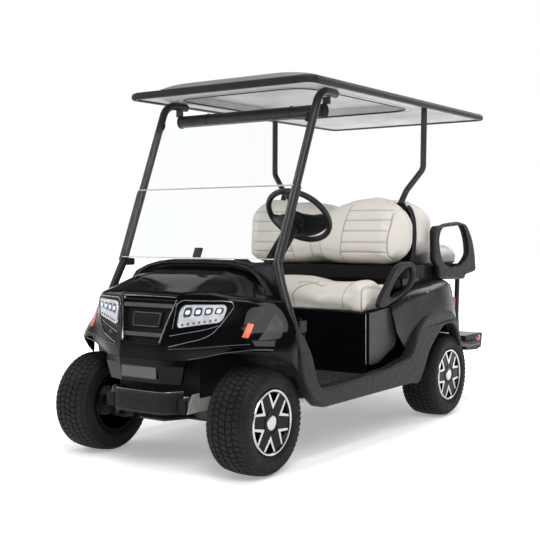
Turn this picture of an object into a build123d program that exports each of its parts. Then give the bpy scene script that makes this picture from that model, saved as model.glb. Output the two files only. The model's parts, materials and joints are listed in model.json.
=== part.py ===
from build123d import *
import os
from math import cos, hypot, radians, sin

# Four-seat electric golf cart. Millimetres, +Z up, front towards -Y, the driver's side is +X.
# Every piece is drawn with the front axle's centre at y = 0 ("station" is the distance behind
# it) and moved at the end, so that the origin is on the floor under the middle of the cart.

os.makedirs("parts", exist_ok=True)

# ---- running gear
WHEELBASE = 1669
FRONT_OVERHANG = 240
REAR_OVERHANG = 761
TRACK_FRONT = 884
TRACK_REAR = 920
TYRE_RADIUS = 228
TYRE_WIDTH = 200
TYRE_WALL = 14
RIM_RADIUS = 127
RIM_LIP = 11
RIM_WALL = 6
RIM_SPOKES = 5
HUB_RADIUS = 40
CAP_RADIUS = 30
SPINDLE_RADIUS = 14
KINGPIN_X = 345
KINGPIN_RADIUS = 11
BARREL_RADIUS = 23
BARREL_HEIGHT = 96
LUG_THICKNESS = 12
STEERING_ARM = 110
ARM_INSET = 37
FIT_GAP = 0.3
SEAT_GAP = 0.3

# ---- frame and floor
RAIL_INNER_X = 180
RAIL_WIDTH = 45
RAIL_BOTTOM = 258
RAIL_HEIGHT = 56
RAIL_WALL = 5
RAIL_FRONT = -190
RAIL_REAR = 1960
CROSS_STATIONS = (-40, 420, 900, 1400, 1900)
FLOOR_THICKNESS = 8
FLOOR_FRONT = 332
FLOOR_HALF_WIDTH = 500

# ---- body
BODY_HALF_WIDTH = 598
BONNET_REAR = 182
WING_END = 118
PILLAR_FRONT = 96
PILLAR_NOTCH = 428
PANEL = 5
SILL_DEPTH = 62
SILL_BOTTOM = 252
SILL_TOP_FRONT = 334
SILL_TOP_REAR = 388
SEAT_BASE_FRONT = 835
SEAT_BASE_HALF = 500
SEAT_DECK = 620
BAND_BOTTOM = 772
BAND_TOP = 838
BAND_FRONT = 1212
BAND_REAR = 1460
TOWER_FRONT = 1250
REAR_DECK_REAR = 2042

# ---- seats
CUSHION_HALF = 478
CUSHION_FRONT = 848
CUSHION_REAR = 1150
CUSHION_THICKNESS = 150
BACKREST_HALF = 488
BACKREST_TOP = 1208
REAR_CUSHION_HALF = 431
REAR_CUSHION_FRONT = 1690
REAR_CUSHION_REAR = 2048
REAR_CUSHION_THICKNESS = 108

# ---- canopy
ROOF_HALF_FRONT = 545
ROOF_HALF_REAR = 528
ROOF_FRONT = 286
ROOF_REAR = 2208
ROOF_LIP = 1667
ROOF_EDGE = 36
ROOF_DOME = 45
ROOF_CORNER = 55
ROOF_SHEET = 5
FRONT_STRUT_RADIUS = 19
REAR_STRUT_RADIUS = 16
STRUT_WALL = 2.5
STRUT_TOP = ROOF_LIP + 8 - FIT_GAP
GLASS = 5

# ---- steering wheel
WHEEL_CENTRE = (250, 625, 1093)
WHEEL_TILT = 46
WHEEL_RIM_RADIUS = 158
WHEEL_GRIP_RADIUS = 14

BACKREST_BOTTOM = BAND_TOP + SEAT_GAP
REAR_DECK_FRONT = BAND_REAR + SEAT_GAP
FRONT_AXLE_Y = -(WHEELBASE + REAR_OVERHANG - FRONT_OVERHANG) / 2
AXLE_Z = TYRE_RADIUS
RAIL_TOP = RAIL_BOTTOM + RAIL_HEIGHT
FLOOR_BOTTOM = RAIL_TOP
FLOOR_TOP = FLOOR_BOTTOM + FLOOR_THICKNESS
FRONT_WHEEL_X = TRACK_FRONT / 2
REAR_WHEEL_X = TRACK_REAR / 2
DRAWN_HALF_WIDTH = 598


# ---------------------------------------------------------------- helpers
def plate_x(points, x_from, x_to):
    """Solid whose outline is given as (station, z), thick along X."""
    outline = make_face(Polyline([(x_from, y, z) for y, z in points], close=True))
    return extrude(outline, amount=x_to - x_from, dir=(1, 0, 0))


def plate_y(points, y_from, y_to):
    """Solid whose outline is given as (x, z), thick along Y."""
    outline = make_face(Polyline([(x, y_from, z) for x, z in points], close=True))
    return extrude(outline, amount=y_to - y_from, dir=(0, 1, 0))


def plate_z(points, z_from, z_to):
    """Solid whose outline is given as (x, station), thick along Z."""
    outline = make_face(Polyline([(x, y, z_from) for x, y in points], close=True))
    return extrude(outline, amount=z_to - z_from, dir=(0, 0, 1))


def block(x_range, y_range, z_range):
    size = [high - low for low, high in (x_range, y_range, z_range)]
    centre = [(high + low) / 2 for low, high in (x_range, y_range, z_range)]
    return Pos(*centre) * Box(*size)


def across(x):
    """Scales a distance from the centre line, drawn for a 598 mm half width, to this body."""
    return x * BODY_HALF_WIDTH / DRAWN_HALF_WIDTH


def rod(start, end, radius):
    """Round bar from one point to another."""
    start, end = Vector(*start), Vector(*end)
    return Solid.make_cylinder(radius, (end - start).length, Plane(origin=start, z_dir=end - start))


def tube(points, radius, bend, wall=0):
    """Round tube along straight runs joined by bends; wall 0 makes it a solid bar."""
    path = FilletPolyline(*points, radius=bend) if len(points) > 2 else Line(*points)
    start = Plane(origin=path @ 0, z_dir=path % 0)
    profile = start * Circle(radius)
    if wall:
        profile -= start * Circle(radius - wall)
    return sweep(profile, path=path)


def pair(shape):
    """The piece and its mirror image on the other side of the cart."""
    return [shape, mirror(shape, about=Plane.YZ)]


def mirrored_outline(points):
    """Closes a half outline, given from the centre outwards, with its mirror image."""
    return list(points) + [(-x, other) for x, other in reversed(points) if x > 0]


def save(node, *shapes):
    solids = [solid for shape in shapes for solid in shape.solids()]
    placed = [solid.moved(Location((0, FRONT_AXLE_Y, 0))) for solid in solids]
    export_step(placed[0] if len(placed) == 1 else Compound(placed), f"parts/{node}.step")


# ---------------------------------------------------------------- wheels
# Half of the tyre's section: distance from the wheel's centre plane as a share of half the
# width, and radius as a share of the way from the bead to the tread.
TYRE_SECTION = ((0.84, 0.02), (0.84, 0.15), (0.97, 0.3), (1.0, 0.52), (0.95, 0.78), (0.8, 0.94), (0.4, 1.0))


def tyre():
    half = TYRE_WIDTH / 2
    depth = TYRE_RADIUS - RIM_RADIUS
    outer = [(half * share, RIM_RADIUS + depth * rise) for share, rise in TYRE_SECTION]
    bead_r = RIM_RADIUS + depth * TYRE_SECTION[0][1]
    inner = [
        (outer[0][0] - TYRE_WALL, bead_r),
        (half - TYRE_WALL, RIM_RADIUS + depth * 0.5),
        (half * 0.72, TYRE_RADIUS - TYRE_WALL),
    ]
    section = outer + [(-x, r) for x, r in reversed(outer)]
    section += [(-x, r) for x, r in inner] + list(reversed(inner))
    face = make_face(Polyline([(x, 0, r) for x, r in section], close=True))
    return revolve(face, axis=Axis.X)


def rim():
    """Barrel with lips, a dished face with V-shaped windows between its spokes, and a cap."""
    half = TYRE_WIDTH / 2
    bead = half * TYRE_SECTION[0][0] + FIT_GAP
    seat = RIM_RADIUS
    barrel = [
        (-bead, seat - RIM_WALL), (-bead - RIM_WALL, seat), (-bead - RIM_WALL, seat + RIM_LIP),
        (-bead, seat + RIM_LIP), (-bead, seat), (-bead + 24, seat), (-40, seat - 16),
        (30, seat - 16), (bead - 24, seat), (bead, seat), (bead, seat + RIM_LIP),
        (bead + RIM_WALL, seat + RIM_LIP), (bead + RIM_WALL, seat), (bead, seat - RIM_WALL),
        (bead - 24, seat - RIM_WALL), (30, seat - 16 - RIM_WALL), (-40, seat - 16 - RIM_WALL),
        (-bead + 24, seat - RIM_WALL),
    ]
    lips = revolve(make_face(Polyline([(x, 0, r) for x, r in barrel], close=True)), axis=Axis.X)
    face_x = half * 0.62
    disc = [
        (face_x - 22, SPINDLE_RADIUS + FIT_GAP), (face_x + 8, SPINDLE_RADIUS + FIT_GAP),
        (face_x + 8, HUB_RADIUS), (face_x, HUB_RADIUS + 20), (face_x + 8, seat - 14),
        (bead - 10, seat - RIM_WALL / 2), (face_x, seat - RIM_WALL / 2), (face_x - 10, seat - 22),
        (face_x - 14, HUB_RADIUS + 14), (face_x - 22, HUB_RADIUS),
    ]
    face = revolve(make_face(Polyline([(x, 0, r) for x, r in disc], close=True)), axis=Axis.X)
    outer_r = seat - 14
    inner_r = HUB_RADIUS + 8
    window = [(5, inner_r), (-5, inner_r), (-34, outer_r - 8), (-26, outer_r), (26, outer_r), (34, outer_r - 8)]
    cutter = plate_x(window, 0, half + 20)
    for index in range(RIM_SPOKES):
        face -= Rot(X=360 / RIM_SPOKES * index) * cutter
    cap = Pos(face_x + 8, 0, 0) * Rot(Y=90) * Cone(CAP_RADIUS, CAP_RADIUS - 6, 14)
    cap = Pos(7, 0, 0) * cap
    return (lips + face + cap).solids()[0]


TYRE_SHAPE = tyre()
RIM_SHAPE = rim()
WHEELS = (
    # name, side, station, distance from the centre line
    ("front_left", 1, 0, FRONT_WHEEL_X),
    ("front_right", -1, 0, FRONT_WHEEL_X),
    ("rear_left", 1, WHEELBASE, REAR_WHEEL_X),
    ("rear_right", -1, WHEELBASE, REAR_WHEEL_X),
)
for name, side, station, distance in WHEELS:
    place = Pos(side * distance, station, AXLE_Z)
    turn = Rot(Z=0 if side > 0 else 180)
    save(f"tyre_{name}", place * turn * TYRE_SHAPE)
    save(f"rim_{name}", place * turn * RIM_SHAPE)

# ---------------------------------------------------------------- front axle and steering
HUB_FACE = TYRE_WIDTH * 0.31 - 22
BARREL_BOTTOM = AXLE_Z - BARREL_HEIGHT / 2
BARREL_TOP = AXLE_Z + BARREL_HEIGHT / 2
ARM_THICKNESS = 14
ARM_BOTTOM = BARREL_BOTTOM + 8
TIE_ROD_RADIUS = 9
ROD_EYE_RADIUS = 14
ROD_EYE_HEIGHT = 24


def knuckle(side):
    """Kingpin barrel with its pin, stub axle and trailing steering arm."""
    x = side * KINGPIN_X
    body = rod((x, 0, BARREL_BOTTOM), (x, 0, BARREL_TOP), BARREL_RADIUS)
    pin_reach = LUG_THICKNESS + SEAT_GAP
    body += rod((x, 0, BARREL_BOTTOM - pin_reach), (x, 0, BARREL_TOP + pin_reach), KINGPIN_RADIUS)
    hub_x = side * (FRONT_WHEEL_X + HUB_FACE - FIT_GAP)
    cap_x = side * (FRONT_WHEEL_X + HUB_FACE + 22)
    body += rod((x, 0, AXLE_Z), (hub_x, 0, AXLE_Z), SPINDLE_RADIUS + 8)
    body += rod((x, 0, AXLE_Z), (cap_x, 0, AXLE_Z), SPINDLE_RADIUS)
    eye_x = side * (KINGPIN_X - ARM_INSET)
    arm_plan = [(x - 13, 0), (x + 13, 0), (eye_x + 13, STEERING_ARM), (eye_x - 13, STEERING_ARM)]
    arm = plate_z(arm_plan, ARM_BOTTOM, ARM_BOTTOM + ARM_THICKNESS)
    arm += rod((eye_x, STEERING_ARM, ARM_BOTTOM), (eye_x, STEERING_ARM, ARM_BOTTOM + ARM_THICKNESS), ROD_EYE_RADIUS)
    drum_x = side * (FRONT_WHEEL_X - 22)
    drum = rod((drum_x, 0, AXLE_Z), (hub_x, 0, AXLE_Z), 70)
    return (body + arm + drum).solids()[0]


save("knuckle_left", knuckle(1))
save("knuckle_right", knuckle(-1))

ROD_Z = ARM_BOTTOM - SEAT_GAP - ROD_EYE_HEIGHT / 2
EYE_X = KINGPIN_X - ARM_INSET
tie_rod = rod((-EYE_X, STEERING_ARM, ROD_Z), (EYE_X, STEERING_ARM, ROD_Z), TIE_ROD_RADIUS)
for side in (1, -1):
    eye_low = (side * EYE_X, STEERING_ARM, ROD_Z - ROD_EYE_HEIGHT / 2)
    eye_high = (side * EYE_X, STEERING_ARM, ROD_Z + ROD_EYE_HEIGHT / 2)
    tie_rod += rod(eye_low, eye_high, ROD_EYE_RADIUS)
save("tie_rod", tie_rod)


YOKE_DEPTH = 75


def kingpin_yoke(side):
    """C-shaped bracket at the end of the axle beam, one lug above and one below the barrel."""
    x = side * KINGPIN_X
    inner = side * (KINGPIN_X - YOKE_DEPTH)
    low, high = sorted((x + side * 24, inner))
    lugs = []
    for z in (BARREL_BOTTOM - SEAT_GAP - LUG_THICKNESS, BARREL_TOP + SEAT_GAP):
        lug = block((low, high), (-24, 24), (z, z + LUG_THICKNESS))
        lug -= rod((x, 0, z - 1), (x, 0, z + LUG_THICKNESS + 1), KINGPIN_RADIUS + FIT_GAP)
        lugs.append(lug)
    low, high = sorted((inner, inner + side * 14))
    back = block((low, high), (-24, 24), (BARREL_BOTTOM - LUG_THICKNESS - SEAT_GAP, BARREL_TOP + LUG_THICKNESS + SEAT_GAP))
    return lugs[0] + lugs[1] + back


BEAM_Z = RAIL_BOTTOM - 26
beam_end = KINGPIN_X - YOKE_DEPTH
beam = rod((-beam_end, 0, BEAM_Z), (beam_end, 0, BEAM_Z), 26 - SEAT_GAP)
for side in (1, -1):
    beam += kingpin_yoke(side)
    stay_x = side * (RAIL_INNER_X + RAIL_WIDTH / 2)
    beam += block((stay_x - 20, stay_x + 20), (-30, 30), (BEAM_Z, RAIL_BOTTOM))
beam += plate_z([(-70, -150), (70, -150), (150, 0), (-150, 0)], BEAM_Z - 26, BEAM_Z - 18)
beam += block((-60, 60), (-20, 20), (BEAM_Z - 26, BEAM_Z))
save("front_axle", beam)

# ---------------------------------------------------------------- rear axle
AXLE_TUBE_RADIUS = 30
rear_hub_x = REAR_WHEEL_X + HUB_FACE - FIT_GAP
rear_axle = rod((-rear_hub_x, WHEELBASE, AXLE_Z), (rear_hub_x, WHEELBASE, AXLE_Z), AXLE_TUBE_RADIUS)
for side in (1, -1):
    drum_x = side * (REAR_WHEEL_X - 22)
    rear_axle += rod((drum_x, WHEELBASE, AXLE_Z), (side * rear_hub_x, WHEELBASE, AXLE_Z), 72)
    end_x = side * (REAR_WHEEL_X + HUB_FACE + 22)
    rear_axle += rod((drum_x, WHEELBASE, AXLE_Z), (end_x, WHEELBASE, AXLE_Z), SPINDLE_RADIUS)
rear_axle += Pos(60, WHEELBASE, AXLE_Z) * Rot(Y=90) * Cylinder(92, 110)
save("rear_axle", rear_axle)

MOTOR_RADIUS = 84
motor = rod((115, WHEELBASE - 150, AXLE_Z + 20), (-90, WHEELBASE - 150, AXLE_Z + 20), MOTOR_RADIUS)
motor -= Pos(60, WHEELBASE, AXLE_Z) * Rot(Y=90) * Cylinder(92 + SEAT_GAP, 240)
motor -= rod((-300, WHEELBASE, AXLE_Z), (300, WHEELBASE, AXLE_Z), AXLE_TUBE_RADIUS + 2)
save("drive_motor", motor)

SPRING_X = 292
SPRING_HALF = 330
SPRING_WIDTH = 50
spring_low = AXLE_Z - AXLE_TUBE_RADIUS - SEAT_GAP
leaf = [
    (WHEELBASE - SPRING_HALF, spring_low + 40), (WHEELBASE - 120, spring_low), (WHEELBASE + 120, spring_low),
    (WHEELBASE + SPRING_HALF, spring_low + 40), (WHEELBASE + SPRING_HALF, spring_low + 26),
    (WHEELBASE + 130, spring_low - 16), (WHEELBASE - 130, spring_low - 16), (WHEELBASE - SPRING_HALF, spring_low + 26),
]
spring = plate_x(leaf, SPRING_X - SPRING_WIDTH / 2, SPRING_X + SPRING_WIDTH / 2)
hanger_inner = RAIL_INNER_X + RAIL_WIDTH
for station in (WHEELBASE - SPRING_HALF + 14, WHEELBASE + SPRING_HALF - 14):
    hanger = block((SPRING_X - 18, SPRING_X + 18), (station - 14, station + 14), (spring_low + 30, RAIL_BOTTOM + 40))
    hanger += block((hanger_inner, SPRING_X + 18), (station - 14, station + 14), (RAIL_BOTTOM + 6, RAIL_BOTTOM + 40))
    spring += hanger
save("rear_springs", *pair(spring))

# ---------------------------------------------------------------- frame
rail = block((RAIL_INNER_X, RAIL_INNER_X + RAIL_WIDTH), (RAIL_FRONT, RAIL_REAR), (RAIL_BOTTOM, RAIL_TOP))
rail -= block(
    (RAIL_INNER_X + RAIL_WALL, RAIL_INNER_X + RAIL_WIDTH - RAIL_WALL),
    (RAIL_FRONT - 1, RAIL_REAR + 1),
    (RAIL_BOTTOM + RAIL_WALL, RAIL_TOP - RAIL_WALL),
)
save("frame_rails", *pair(rail))

crosses = []
for station in CROSS_STATIONS:
    cross = block((-RAIL_INNER_X, RAIL_INNER_X), (station - 20, station + 20), (RAIL_TOP - 40, RAIL_TOP))
    crosses.append(cross)
save("frame_crossmembers", *crosses)

BATTERY_FRONT = 940
BATTERY_REAR = 1380
BATTERY_HALF = 400
BATTERY_HEADROOM = 40
battery_z = (FLOOR_TOP + SEAT_GAP, SEAT_DECK - BATTERY_HEADROOM)
save("battery_pack", block((-BATTERY_HALF, BATTERY_HALF), (BATTERY_FRONT, BATTERY_REAR), battery_z))

# ---------------------------------------------------------------- floor, toe board
TOE_BEND = (316, 470)
TOE_TOP = (262, 640)
toe = [
    (SEAT_BASE_FRONT + 560, FLOOR_BOTTOM), (FLOOR_FRONT, FLOOR_BOTTOM), TOE_BEND, TOE_TOP,
    (TOE_TOP[0] + FLOOR_THICKNESS, TOE_TOP[1]), (TOE_BEND[0] + FLOOR_THICKNESS, TOE_BEND[1]),
    (FLOOR_FRONT + FLOOR_THICKNESS, FLOOR_TOP), (SEAT_BASE_FRONT + 560, FLOOR_TOP),
]
floor = plate_x(toe, -FLOOR_HALF_WIDTH, FLOOR_HALF_WIDTH)
save("floor_pan", floor)

# ---------------------------------------------------------------- outlines shared by the sills and their neighbours
# Side view of the moulding that runs from the front pillar's foot along the sill and over the
# rear wheel, as (station, z), clockwise from the foot's front top corner.
SILL_OUTLINE = (
    (83, 592), (127, 592), (159, 557), (190, 516), (214, 470), (230, 426), (246, 381), (270, 347),
    (294, SILL_TOP_FRONT), (343, SILL_TOP_FRONT), (605, 342), (894, 354), (1114, SILL_TOP_REAR),
    (1169, 442), (1202, 511), (1280, 571), (1397, 605), (1507, 608), (1595, 587), (1655, 560),
    (1709, 530), (1750, 464), (1800, 385), (1772, 383), (1752, 408), (1699, 476), (1628, 517),
    (1557, 524), (1495, 513), (1423, 471), (1329, 401), (1260, 294), (1204, 239), (1150, SILL_BOTTOM),
    (300, SILL_BOTTOM), (262, 262), (214, 299), (182, 333), (151, 376), (128, 429), (121, 472),
    (113, 515), (98, 546),
)


def sill_space():
    """Room kept free for both sills in the panels that meet them, a hair larger than the sill."""
    face = make_face(Polyline([(0, y, z) for y, z in SILL_OUTLINE], close=True))
    grown = offset(face, amount=SEAT_GAP, kind=Kind.INTERSECTION)
    half_width = BODY_HALF_WIDTH + 2 * SILL_DEPTH
    return Pos(-half_width, 0, 0) * extrude(grown, amount=2 * half_width, dir=(1, 0, 0))


# ---------------------------------------------------------------- front body
# Plan outlines of the nose at rising heights: half width and station, from the centre outwards.
NOSE_LEVELS = (
    (480, ((0, -229), (113, -229), (226, -186), (352, -124), (470, -70), (560, 0), (594, 50), (598, 330))),
    (545, ((0, -220), (118, -218), (235, -178), (356, -120), (500, -56), (566, 10), (596, 60), (598, 330))),
    (612, ((0, -196), (140, -196), (240, -152), (350, -104), (512, 10), (572, 70), (594, 110), (594, 330))),
    (730, ((0, -160), (166, -158), (260, -122), (370, -75), (508, 70), (552, 130), (574, 170), (574, 330))),
    (900, ((0, -110), (190, -108), (270, -72), (370, -30), (490, 110), (530, 170), (545, 210), (545, 330))),
)
# Height of the bonnet's top across the cart at three stations.
BONNET_X = (0, 190, 290, 370, 450, 520, 700)
NOSE_SKIRT = 300
BONNET_STATIONS = (
    (-240, (733, 731, 722, 706, 690, 668, 620)),
    (-155, (757, 755, 742, 724, 708, 690, 660)),
    (60, (833, 831, 814, 776, 740, 722, 705)),
    (190, (862, 860, 839, 795, 747, 731, 722)),
    (340, (862, 860, 839, 795, 747, 736, 735)),
)


def nose_block(inset):
    """The nose as one closed body, drawn in by a wall thickness on every side."""
    levels = []
    for height, outline in NOSE_LEVELS:
        drawn = [(x if x == 0 else across(x) - inset, y + inset) for x, y in outline[:-1]]
        drawn.append((across(outline[-1][0]) - inset, outline[-1][1] + 10 * inset))
        drawn.append((0, drawn[-1][1]))
        points = [(x, y) for x, y in drawn] + [(-x, y) for x, y in reversed(drawn) if x > 0]
        shift = -inset * 20 if height == NOSE_LEVELS[0][0] else 0
        levels.append(make_face(Polyline([(x, y, height + shift) for x, y in points], close=True)))
    sides = loft(levels, ruled=True)
    crowns = []
    for station, heights in BONNET_STATIONS:
        top = [(x, z - inset) for x, z in zip(BONNET_X, heights)]
        skirt = [(BONNET_X[-1], station, NOSE_SKIRT), (-BONNET_X[-1], station, NOSE_SKIRT)]
        points = [(x, station, z) for x, z in top] + skirt
        points += [(-x, station, z) for x, z in reversed(top) if x > 0]
        crowns.append(make_face(Polyline(points, close=True)))
    return sides & loft(crowns, ruled=True)


# Side view of the bonnet and wing: everything behind or under this line is open.
ARCH_LINE = (
    (-230, 480), (-186, 482), (-124, 510), (-100, 548), (-35, 530), (37, 485), (89, 438), (WING_END - 2, 417),
)
WING_REAR = ((WING_END, 417), (WING_END, 600), (BONNET_REAR, 620), (BONNET_REAR, 960))
cowl = nose_block(0) - nose_block(PANEL)
side_view = list(ARCH_LINE) + list(WING_REAR) + [(-300, 960), (-300, 480)]
cowl &= plate_x(side_view, -BODY_HALF_WIDTH - 10, BODY_HALF_WIDTH + 10)
for cutter in pair(block((across(PILLAR_NOTCH), 700), (PILLAR_FRONT, 400), (400, 960))):
    cowl -= cutter
cowl -= sill_space()
GRILLE_TOP = (166, -158, 745)
GRILLE_BOTTOM = (112, -216, 540)
grille_cut = plate_y(
    mirrored_outline([(0, GRILLE_TOP[2] - 14), (GRILLE_TOP[0] - 12, GRILLE_TOP[2] - 14), (GRILLE_BOTTOM[0] - 8, GRILLE_BOTTOM[2]), (0, GRILLE_BOTTOM[2])]),
    -300, -60,
)
cowl -= grille_cut
LAMP = ((172, 618), (346, 645), (366, 716), (174, 716))
lamp_cut = plate_y(LAMP, -260, 60)
for cutter in pair(lamp_cut):
    cowl -= cutter
cowl_solids = sorted(cowl.solids(), key=lambda solid: -solid.volume)
save("front_cowl", cowl_solids[0])

# Headlamp boxes fill their windows from behind, a hair inside the opening.
lamp_shape = [(x + (SEAT_GAP if x < 200 else -SEAT_GAP), z + (SEAT_GAP if z < 700 else -SEAT_GAP)) for x, z in LAMP]
lamp = plate_y(lamp_shape, -260, 60) & (nose_block(2) - nose_block(60))
save("headlamps", *pair(max(lamp.solids(), key=lambda solid: solid.volume)))

# Grille panel: a plate that follows the slanted nose with two raised bars and a blank frame.
lean = (GRILLE_TOP[1] - GRILLE_BOTTOM[1]) / (GRILLE_TOP[2] - GRILLE_BOTTOM[2])


def nose_y(z):
    return GRILLE_BOTTOM[1] + (z - GRILLE_BOTTOM[2]) * lean


def grille_slab(z_low, z_high, half_low, half_high, front, back):
    """Slab on the slanted nose plane; front and back are depths behind that plane."""
    side_view = [
        (nose_y(z_low) + front, z_low), (nose_y(z_high) + front, z_high),
        (nose_y(z_high) + back, z_high), (nose_y(z_low) + back, z_low),
    ]
    front_view = mirrored_outline([(0, z_high), (half_high, z_high), (half_low, z_low), (0, z_low)])
    return plate_x(side_view, -300, 300) & plate_y(front_view, -400, 200)


grille_low = GRILLE_BOTTOM[2] + SEAT_GAP
grille_high = GRILLE_TOP[2] - 14 - SEAT_GAP
grille = grille_slab(grille_low, grille_high, 104 - SEAT_GAP, 154 - SEAT_GAP, 1, 22)
grille -= grille_slab(grille_low + 6, grille_high - 6, 97, 147, 0, 16)
for z_low, z_high in ((694, 714), (572, 592)):
    half = 102 + (z_low - GRILLE_BOTTOM[2]) * 50 / 205
    grille += grille_slab(z_low, z_high, half, half + 5, 2, 17)
grille += grille_slab(612, 676, 80, 86, 8, 17)
save("grille_panel", grille)

# Apron: lower nose panel with slanted cheeks and a blank plate recess.
APRON_LEVELS = (
    (380, ((0, -220), (108, -220), (200, -190))),
    (455, ((0, -230), (111, -230), (222, -196))),
    (480 - SEAT_GAP, ((0, -229), (112, -229), (225, -187))),
)
apron_faces = []
for height, outline in APRON_LEVELS:
    back = [(x, y + 14) for x, y in reversed(outline)]
    points = list(outline) + back
    apron_faces.append(make_face(Polyline([(x, y, height) for x, y in points[:-1]] + [(0, outline[0][1] + 14, height)], close=True)))
apron_half = loft(apron_faces, ruled=True)
apron = apron_half + mirror(apron_half, about=Plane.YZ)
apron -= block((-95, 95), (-240, -224), (398, 448))
save("front_apron", apron)

# Bumper: ribbed moulding whose ends turn back to the frame rails.
BUMPER_TOP = 347
BUMPER_BOTTOM = 249
bumper_plan = [(0, -FRONT_OVERHANG), (128, -FRONT_OVERHANG + 2), (196, -214), (222, RAIL_FRONT - SEAT_GAP), (0, RAIL_FRONT - SEAT_GAP)]
bumper = plate_z(mirrored_outline(bumper_plan), BUMPER_BOTTOM, BUMPER_TOP)
save("front_bumper", bumper)

# Marker lamps: thin lenses on the wings beside the headlamps, seen from the front as (x, z).
MARKER = ((434, 639), (455, 635), (457, 576), (433, 583))
MARKER_THICKNESS = 4
marker_view = plate_y([(across(x), z) for x, z in MARKER], -200, 60)
markers = marker_view & (nose_block(-MARKER_THICKNESS) - nose_block(-FIT_GAP))
save("marker_lamps", *pair(max(markers.solids(), key=lambda solid: solid.volume)))

# Dark liner over each front wheel, inside the wing.
LINER_FRONT = -104
liner_line = [(-190, 490), (-150, 512), (-60, 524), (40, 522), (130, 488), (205, 442), (262, 387), (300, 322)]
liner_band = liner_line + [(y - 4, z - 5) for y, z in reversed(liner_line)]
LINER_WALL = 5
SILL_INNER = BODY_HALF_WIDTH + 2 - SILL_DEPTH
liner_x = RAIL_INNER_X + RAIL_WIDTH + SEAT_GAP
liner_floor = RAIL_TOP + SEAT_GAP
liner = plate_x(liner_band, liner_x, 700) & nose_block(PANEL + SEAT_GAP)
liner -= block((SILL_INNER - SEAT_GAP, 700), (WING_END - 10, 500), (0, 900))
inner_wall = [(LINER_FRONT, liner_floor), (LINER_FRONT, 516)] + list(liner_line[2:]) + [(300, liner_floor)]
liner += plate_x(inner_wall, liner_x, liner_x + LINER_WALL)
bulkhead = block((-liner_x, liner_x), (LINER_FRONT, LINER_FRONT + LINER_WALL), (liner_floor, 478))
save("wheel_liners", liner + bulkhead + mirror(liner, about=Plane.YZ))

# ---------------------------------------------------------------- dashboard
DASH_REAR = 400
DASH_X = (0, 190, 290, 370, 440, 466)
# Plan of the dashboard's rear edge, which sweeps forward towards the pillars, as (x, station).
DASH_EDGE = ((0, DASH_REAR), (240, DASH_REAR), (310, 355), (380, 300), (440, 225), (466, 188))


def dash_block(inset):
    sections = []
    for station, heights, base in (
        (BONNET_REAR + SEAT_GAP + inset, (888, 886, 866, 820, 772, 752), 640),
        (230, (892, 890, 880, 860, 830, 800), 640),
        (DASH_REAR - inset, (868, 866, 862, 852, 836, 812), 640),
    ):
        top = [(max(x - inset, 0) if x else 0, z - inset) for x, z in zip(DASH_X, heights)]
        low = base - inset
        points = [(x, station, z) for x, z in top] + [(top[-1][0], station, low), (-top[-1][0], station, low)]
        points += [(-x, station, z) for x, z in reversed(top) if x > 0]
        sections.append(make_face(Polyline(points, close=True)))
    edge = [(0, 0)] + [(x - inset if x else 0, y - inset) for x, y in DASH_EDGE] + [(DASH_EDGE[-1][0] - inset, 0)]
    edge = edge[1:] + [(-x, y) for x, y in reversed(edge[1:]) if x > 0]
    return loft(sections, ruled=True) & plate_z(edge, 500, 1000)


dash = dash_block(0) - dash_block(PANEL)
BIN_WALL = 4
BIN_DEPTH = 116
BIN_Z = (700, 800)
DASH_BINS = ((50, 190), (-190, -50))
for x_low, x_high in DASH_BINS:
    box_front = DASH_REAR - BIN_DEPTH
    shell_z = (BIN_Z[0] - BIN_WALL, BIN_Z[1] + BIN_WALL)
    dash += block((x_low - BIN_WALL, x_high + BIN_WALL), (box_front - BIN_WALL, DASH_REAR - 1), shell_z)
    dash -= block((x_low, x_high), (box_front, DASH_REAR + 1), BIN_Z)
save("dashboard", dash)

tilt = radians(WHEEL_TILT)
COLUMN_AXIS = Vector(0, sin(tilt), cos(tilt))
hub_centre = Vector(*WHEEL_CENTRE)


def along_column(distance):
    """Point on the steering column, measured from the wheel's centre towards the driver."""
    point = hub_centre + COLUMN_AXIS * distance
    return (point.X, point.Y, point.Z)


COLUMN_RADIUS = 34
column = rod(along_column(-400), along_column(-60), COLUMN_RADIUS)
column += rod(along_column(-80), along_column(-46), 46)
column -= dash_block(-SEAT_GAP)
save("steering_column", column)

wheel_plane = Plane(origin=hub_centre, x_dir=(1, 0, 0), z_dir=COLUMN_AXIS)
steering = wheel_plane * Rot(Z=45) * Torus(WHEEL_RIM_RADIUS, WHEEL_GRIP_RADIUS)
hub = rod(along_column(-46 + SEAT_GAP), along_column(-14), 46)
spokes = []
for angle in (0, 180, 270):
    end_x = cos(radians(angle)) * (WHEEL_RIM_RADIUS - 4)
    end_y = sin(radians(angle)) * (WHEEL_RIM_RADIUS - 4)
    start = wheel_plane.from_local_coords(Vector(0, 0, -24))
    end = wheel_plane.from_local_coords(Vector(end_x, end_y, 0))
    spokes.append(rod((start.X, start.Y, start.Z), (end.X, end.Y, end.Z), 10))
steering = steering + hub + spokes[0] + spokes[1] + spokes[2]
save("steering_wheel", steering)

pedals = []
for x, width in ((170, 70), (310, 56)):
    pad = Pos(x, 405, 430) * Rot(X=35) * Box(width, 90, 10)
    arm = rod((x, 405, 430), (x, TOE_BEND[0] - 18, 520), 8)
    toe_face = [(y + FLOOR_THICKNESS, z) for y, z in (TOE_TOP, TOE_BEND)]
    toe_space = [(0, 0), (0, 900), (TOE_TOP[0] + FLOOR_THICKNESS, 900)] + toe_face + [(TOE_BEND[0], 0)]
    toe_space = plate_x(toe_space, x - 60, x + 60)
    pedals.append(pad + (arm - toe_space))
save("pedals", *pedals)

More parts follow.
